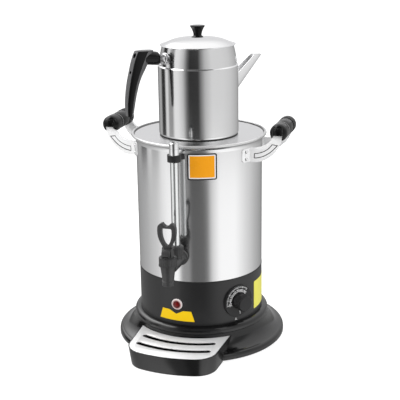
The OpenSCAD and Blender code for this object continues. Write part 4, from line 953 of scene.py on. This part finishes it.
class UrnTeapot(bpy.types.Operator):
    """Spun teapot with a small foot radius, its flared lid, waisted knob and ferrule"""

    bl_idname = "urn.teapot"
    bl_label = "Teapot"

    # Outlines as (radius, height); the ferrule's as (distance out, radius)
    STEP = [(0.0720, 0.5076), (0.0719, 0.5086), (0.0713, 0.5093), (0.0698, 0.5103),
            (0.0693, 0.5109), (0.0692, 0.5125)]
    CONE = [(0.0692, 0.5125), (0.0685, 0.5220), (0.0672, 0.5300), (0.0656, 0.5375),
            (0.0641, 0.5444)]
    DOME = [(0.0125, 0.5580), (0.0220, 0.5577), (0.0315, 0.5567), (0.0410, 0.5551),
            (0.0500, 0.5524), (0.0580, 0.5490), (0.0643, 0.5462)]
    KNOB_FOOT = [(0.0108, 0.5578), (0.0102, 0.5588), (0.0084, 0.5598)]
    KNOB = [(0.0073, 0.5612), (0.0076, 0.5650), (0.0091, 0.5695), (0.0110, 0.5738),
            (0.0128, 0.5765)]
    KNOB_TOP = [(0.0132, 0.5774), (0.0131, 0.5781), (0.0120, 0.5786), (0.0070, 0.5789),
                (0, 0.5790)]
    FERRULE = [(0.0660, 0.0106), (0.0686, 0.0106), (0.0697, 0.0090), (0.0712, 0.0082),
               (0.0740, 0.0081), (0.0770, 0.0088), (0.0805, 0.0096), (0.0810, 0.0090)]
    FERRULE_Z = 0.5250
    SHEET = 0.0008
    # Strainer: radius of a hole, height of the lowest row, its rise to the next and the bearings
    HOLE_R, HOLE_Z, HOLE_RISE = 0.0025, POT_FOOT + 0.070, 0.009
    HOLE_TURNS = (-6, 0, 6)

    def body(self):
        corner, wide = 0.0042, 0.0720
        foot = [(wide - corner + corner * math.sin(math.radians(a)),
                 POT_FOOT + corner - corner * math.cos(math.radians(a))) for a in range(0, 91, 15)]
        # A ring close to each end of the wall keeps its shading even
        wall = [(wide, POT_FOOT + corner + 0.0003), (wide, self.STEP[0][1] - 0.0003)]
        outline = [(0, POT_FOOT), *foot, *wall, *drawn(self.STEP, 15),
                   *drawn(self.CONE, 8)[1:], (0.0639, POT_TOP)]
        made = lathe("teapot_body", outline, 128)
        apply_modifier(made, "SOLIDIFY", thickness=self.SHEET, offset=-1.0, use_even_offset=True)
        back = POT_TURN + math.pi
        for row in range(3):
            for turn in self.HOLE_TURNS:
                hole = primitive("cylinder", "strainer_hole", vertices=20, radius=self.HOLE_R,
                                 depth=0.012)
                put(hole, outwards_matrix(back + math.radians(turn), wide,
                                          self.HOLE_Z + self.HOLE_RISE * row))
                combine(made, hole, "DIFFERENCE")
        wear(made, FINISH["pot_steel"])
        smooth(made, 30)
        hand_over(made, "teapot", "satin_steel", "pot_body")

    def lid(self):
        seat, under = 0.5570, self.SHEET
        top = [(0, seat), (0.0109, seat), *drawn(self.DOME, 24)]
        brim = [(0.0660, 0.54585), (0.0673, 0.5458), (0.0676, 0.5455), (0.0673, POT_TOP + 0.00003)]
        flange = [(0.0628, POT_TOP + 0.00003), (0.0628, 0.5371), (0.0620, 0.5371), (0.0620, 0.5462)]
        inside = [(r, z - under) for r, z in reversed(drawn(self.DOME, 12)) if r < 0.061]
        made = lathe("teapot_lid", [*top, *brim, *flange, *inside,
                                    (0.0115, seat - under), (0, seat - under)], 128)
        wear(made, FINISH["pot_steel"])
        smooth(made, 30)
        hand_over(made, "teapot_lid", "satin_steel", "pot_lid")

        seat += 0.00002
        knob = lathe("lid_knob", [(0, seat), (0.0106, seat), *self.KNOB_FOOT,
                                  *drawn(self.KNOB, 12), *self.KNOB_TOP], 64)
        wear(knob, FINISH["bakelite"])
        smooth(knob, 40)
        hand_over(knob, "teapot_lid", "bakelite", "pot_lid_knob", mirrored=False)

    def ferrule(self):
        start, end = self.FERRULE[0][0], self.FERRULE[-1][0]
        outline = [(r, out) for out, r in self.FERRULE]
        made = lathe("handle_ferrule", [(0, start), *outline, (0, end)], 48)
        put(made, outwards_matrix(POT_TURN, 0, self.FERRULE_Z))
        wear(made, FINISH["bright_steel"])
        smooth(made, 40)
        hand_over(made, "teapot", "chrome", "pot_ferrule")

    def execute(self, context):
        self.body()
        self.lid()
        self.ferrule()
        return {"FINISHED"}


class UrnPotHandle(bpy.types.Operator):
    """Bakelite handle of the teapot: a round bar mitred to a faceted blade"""

    bl_idname = "urn.pot_handle"
    bl_label = "Teapot handle"

    # The blade's middle line as (distance out, height), with its depth and width along it, its
    # section in shares of those, and the bar as (distance out, height, radius)
    CENTRE = [(0.1008, 0.5535), (0.1070, 0.5415), (0.1133, 0.5295), (0.1189, 0.5170),
              (0.1246, 0.5034), (0.1292, 0.4900), (0.1327, 0.4763), (0.1354, 0.4625),
              (0.1373, 0.4486), (0.1385, 0.4310)]
    DEPTH = [0.0270, 0.0270, 0.0268, 0.0248, 0.0208, 0.0186, 0.0172, 0.0158, 0.0144, 0.0105]
    WIDTH = [0.0240, 0.0245, 0.0250, 0.0250, 0.0245, 0.0240, 0.0230, 0.0215, 0.0195, 0.0140]
    SECTION = [(0.50, 0.30), (0.46, 0.37), (0.02, 0.50), (-0.06, 0.50), (-0.42, 0.34),
               (-0.50, 0.22)]
    BAR = [(0.0803, 0.5270, 0.0098), (0.0812, 0.5271, 0.0110), (0.0830, 0.5273, 0.0117),
           (0.0900, 0.5283, 0.0119), (0.1000, 0.5296, 0.0120), (0.1130, 0.5303, 0.0120)]
    STRETCHES = 36
    TOP = 0.5427
    # Height and radius of each moulded recess
    RECESSES = ((0.5350, 0.0046), (0.5080, 0.0028))

    def drawn_out(self, made, spots, headings, scales):
        """Extrudes the flat start along the spots, turned and scaled to each section"""
        with editing(made, whole=True):
            for i in range(1, len(spots)):
                bpy.ops.mesh.extrude_region_move(
                    TRANSFORM_OT_translate={"value": spots[i] - spots[i - 1]})
                thin, wide = (now / last for now, last in zip(scales[i], scales[i - 1]))
                bpy.ops.transform.resize(value=(thin, wide, thin), center_override=spots[i])
                bpy.ops.transform.rotate(value=headings[i] - headings[i - 1], orient_axis="Y",
                                         center_override=spots[i])
            bpy.ops.mesh.select_all(action="SELECT")
            bpy.ops.mesh.normals_make_consistent(inside=False)

    def course(self):
        """Places along the blade, with the heading and the section's depth and width at each"""
        last = self.STRETCHES
        spots = [Vector((x, 0, z)) for x, z in drawn(self.CENTRE, last)]
        ways = [spots[min(i + 1, last)] - spots[max(i - 1, 0)] for i in range(last + 1)]
        headings = [math.atan2(way.z, way.x) for way in ways]
        scales = [(through(self.DEPTH, i / last), through(self.WIDTH, i / last))
                  for i in range(last + 1)]
        return spots, headings, scales

    def blade(self, spots, headings, scales):
        """The faceted blade, cut level at its top, with a painted highlight in paler grey on some
        facets, and rounded edges
        """
        outline = [*self.SECTION, *[(p, -q) for p, q in reversed(self.SECTION)]]
        made = primitive("circle", "teapot_handle", vertices=len(outline), radius=1,
                         fill_type="NGON")
        places = [v.co.copy() for v in made.data.vertices]
        with editing(made, "VERT"):
            for i, (p, q) in enumerate(outline):
                pick(made, "verts", lambda v: v.index == i)
                aim = Vector((p * scales[0][0], q * scales[0][1], 0))
                bpy.ops.transform.translate(value=aim - places[i])
        put(made, Matrix.Translation(spots[0]) @ Matrix.Rotation(-headings[0], 4, "Y")
            @ Matrix.Rotation(-QUARTER, 4, "Y"))
        self.drawn_out(made, spots, headings, scales)
        with editing(made, whole=True):
            bpy.ops.mesh.bisect(plane_co=(0, 0, self.TOP), plane_no=(0, 0, 1), use_fill=True,
                                clear_outer=True)
        wear(made, FINISH["bakelite"], FINISH["bakelite_painted_sheen"])
        # Painted highlight: facets that face outwards or slope to the side get the paler grey
        assign(made, 1, lambda f: f.normal.x > 0.5 and abs(f.normal.y) < 0.1
               or f.normal.x < -0.2 and 0.3 < abs(f.normal.y) < 0.97)
        bevel(made, 0.0007, 2, 24, material=0)
        return made

    def round_bar(self):
        """The bar that runs from the ferrule into the blade"""
        bar = primitive("circle", "handle_bar", vertices=32, radius=self.BAR[0][2],
                        fill_type="NGON")
        rings = [Vector((x, 0, z)) for x, z, _r in self.BAR]
        put(bar, Matrix.Translation(rings[0]) @ Matrix.Rotation(-QUARTER, 4, "Y"))
        self.drawn_out(bar, rings, [0] * len(rings), [(r, r) for _x, _z, r in self.BAR])
        wear(bar, FINISH["bakelite"])
        return bar

    def execute(self, context):
        spots, headings, scales = self.course()
        made = self.blade(spots, headings, scales)
        combine(made, self.round_bar(), "UNION")
        faces = [spot + Vector((-math.sin(h), 0, math.cos(h))) * (depth / 2)
                 for spot, h, (depth, _width) in zip(spots, headings, scales)]
        for height, radius in self.RECESSES:
            i = min(range(len(faces)), key=lambda k: abs(faces[k].z - height))
            hole = primitive("cylinder", "handle_hole", vertices=32, radius=radius, depth=0.005)
            # The hole's walls take the near-black of painted shade
            wear(hole, FINISH["painted_recess_shade"])
            put(hole, Matrix.Translation(faces[i]) @ Matrix.Rotation(-headings[i], 4, "Y"))
            combine(made, hole, "DIFFERENCE")
        smooth(made, 24)
        put(made, Matrix.Rotation(POT_TURN - QUARTER, 4, "Z"))
        hand_over(made, "teapot", "bakelite", "pot_handle")
        return {"FINISHED"}


class UrnCastings(bpy.types.Operator):
    """The four cast arms: painted shade as dark lines along the edges and round the sunken panels
    """

    bl_idname = "urn.castings"
    bl_label = "Cast arms"

    # Depth of the sunken panel, and width of the painted line of shade round its floor
    PANEL_DEPTH = 0.0027
    LINE = 0.0015

    def line_panel(self, made, back):
        """Paints a line of shade round the sunken panel, which is found with the arm turned back to
        its own frame
        """
        def on_floor(f):
            at = back @ f.calc_center_median()
            facing = (back.to_3x3() @ f.normal).y
            return facing < -0.95 and abs(at.y + self.PANEL_DEPTH) < 0.0002

        assign(made, 1, on_floor)
        with editing(made):
            pick(made, "faces", on_floor)
            bpy.ops.mesh.inset(thickness=self.LINE)
            made.active_material_index = 0
            bpy.ops.object.material_slot_assign()

    def execute(self, context):
        radius = context.scene.urn_finish.edge_radius
        finishes = (FINISH["casting"], FINISH["casting_painted_shade"])
        for side, east in SIDES:
            for end, south in ENDS:
                back = (Matrix.Rotation(-ARM_TURN, 4, "Z") @ Matrix.Translation(-ARM_ROOT)
                        @ Matrix.Diagonal((east, south, 1, 1)))
                node = f"{side}_{end}_arm"
                made = rounded_copy(node, f"{node}_cast", radius, finishes, 35, 2,
                                    lambda arm: self.line_panel(arm, back))
                hand_over(made, "urn", "chrome", node, mirrored=False)
        return {"FINISHED"}


class UrnGrips(bpy.types.Operator):
    """Turned grips whose rounded seams carry a painted highlight in a paler grey, and the plugs
    over the arms' ends
    """

    bl_idname = "urn.grips"
    bl_label = "Grips"

    # Size of the block that cuts a plug out of the ball, its gap to the arm and its rise
    PLUG = (0.0164, 0.016, 0.0124)
    PLUG_GAP, PLUG_RISE = 0.0006, 0.0034
    BALL_R = 0.0150

    def plug(self, name, east, south):
        """Fills the slot of a grip end above its arm, a little below the ball's face"""
        ball = primitive("uv_sphere", name, segments=64, ring_count=32, radius=self.BALL_R,
                         location=GRIP_BALL)
        settle(ball)
        block = sized("cube", "plug_block", self.PLUG,
                      (ARM_RUN, -self.PLUG_GAP - self.PLUG[1] / 2, GRIP_BALL.z + self.PLUG_RISE))
        put(block, Matrix.Translation(ARM_ROOT) @ Matrix.Rotation(ARM_TURN, 4, "Z"))
        combine(ball, block, "INTERSECT")
        bevel(ball, 0.0004, 2, 40)
        put(ball, Matrix.Diagonal((east, south, 1, 1)))
        with editing(ball, whole=True):
            bpy.ops.mesh.normals_make_consistent(inside=False)
        wear(ball, FINISH["grip"])
        smooth(ball, 40)
        hand_over(ball, "urn", "gloss_black_plastic", mirrored=False)

    def execute(self, context):
        for side, east in SIDES:
            for part, radius in (("grip_ends", 0.0008), ("grip_barrel", 0.0007)):
                node = f"{side}_{part}"
                made = rounded_copy(node, f"{node}_moulded", radius,
                                    (FINISH["grip"], FINISH["grip_painted_highlight"]), 40, 3)
                hand_over(made, "urn", "gloss_black_plastic", node, mirrored=False)
            for end, south in ENDS:
                self.plug(f"{side}_{end}_plug", east, south)
        return {"FINISHED"}


class UrnMouldings(bpy.types.Operator):
    """Tap, nuts, clip, knob and tray with the rounded edges of moulded parts"""

    bl_idname = "urn.mouldings"
    bl_label = "Moulded parts"

    # Body and edge radius of each node
    ROUNDED = {"tap_lever": ("lever", 0.0011), "glass_nut": ("urn", 0.0004),
               "glass_clip": ("urn", 0.0006), "thermostat_knob": ("knob", 0.0007),
               "tray_pan": ("tray", 0.0009)}
    VALVE_TRAVEL = 0.004
    # Size of the bridge over the clip's gap, and its distance in front of the glass's axis
    BRIDGE = (0.0074, 0.0026, 0.0116)
    BRIDGE_OUT = 0.0104

    def execute(self, context):
        for node, (body, radius) in self.ROUNDED.items():
            made = rounded_copy(node, f"{node}_moulded", radius, (FINISH[SLOTS[node]],), 35, 3)
            hand_over(made, body, SLOTS[node], node, mirrored=node != "glass_clip")

        spring = rounded_copy("tap_spring", "tap_spring_coil", 0.00005,
                              (FINISH["zinc_plate"],), 60, 1)
        hand_over(spring, "urn", SLOTS["tap_spring"], "tap_spring")
        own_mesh(spring)

        # The grid's bevelled slot edges take the near-black of painted shade
        grid = rounded_copy("tray_grid", "tray_grid_pressed", 0.0008,
                            (FINISH["tray_steel"], FINISH["painted_recess_shade"]), 35, 2)
        hand_over(grid, "tray_top", SLOTS["tray_grid"], "tray_grid")

        bridge = sized("cube", "clip_bridge", self.BRIDGE,
                       (0, GLASS_Y - self.BRIDGE_OUT, CLIP_Z))
        wear(bridge, FINISH[SLOTS["glass_clip"]])
        bevel(bridge, 0.0005, 3, 30)
        smooth(bridge, 40)
        hand_over(bridge, "urn", SLOTS["glass_clip"], mirrored=False)
        return {"FINISHED"}


CLASSES = [UrnFinishSettings, UrnStage, UrnFinishes, UrnLabels, UrnDialPrint, UrnTeapot,
           UrnPotHandle, UrnCastings, UrnGrips, UrnMouldings]


class UrnPanel(bpy.types.Panel):
    """Lists the urn's pieces and settings"""

    bl_idname = "VIEW3D_PT_urn"
    bl_label = "Hot water urn"
    bl_space_type = "VIEW_3D"
    bl_region_type = "UI"
    bl_category = "Urn"

    def draw(self, context):
        for kind in STEPS:
            self.layout.operator(kind.bl_idname)
        for name in UrnFinishSettings.__annotations__:
            self.layout.prop(context.scene.urn_finish, name)


STEPS = [kind for kind in CLASSES if issubclass(kind, bpy.types.Operator)]


def register():
    for kind in (*CLASSES, UrnPanel):
        bpy.utils.register_class(kind)
    bpy.types.Scene.urn_finish = bpy.props.PointerProperty(type=UrnFinishSettings)


def unregister():
    del bpy.types.Scene.urn_finish
    for kind in (UrnPanel, *reversed(CLASSES)):
        bpy.utils.unregister_class(kind)


def main():
    register()
    for kind in STEPS:
        group, name = kind.bl_idname.split(".")
        getattr(getattr(bpy.ops, group), name)()


if __name__ == "__main__":
    main()
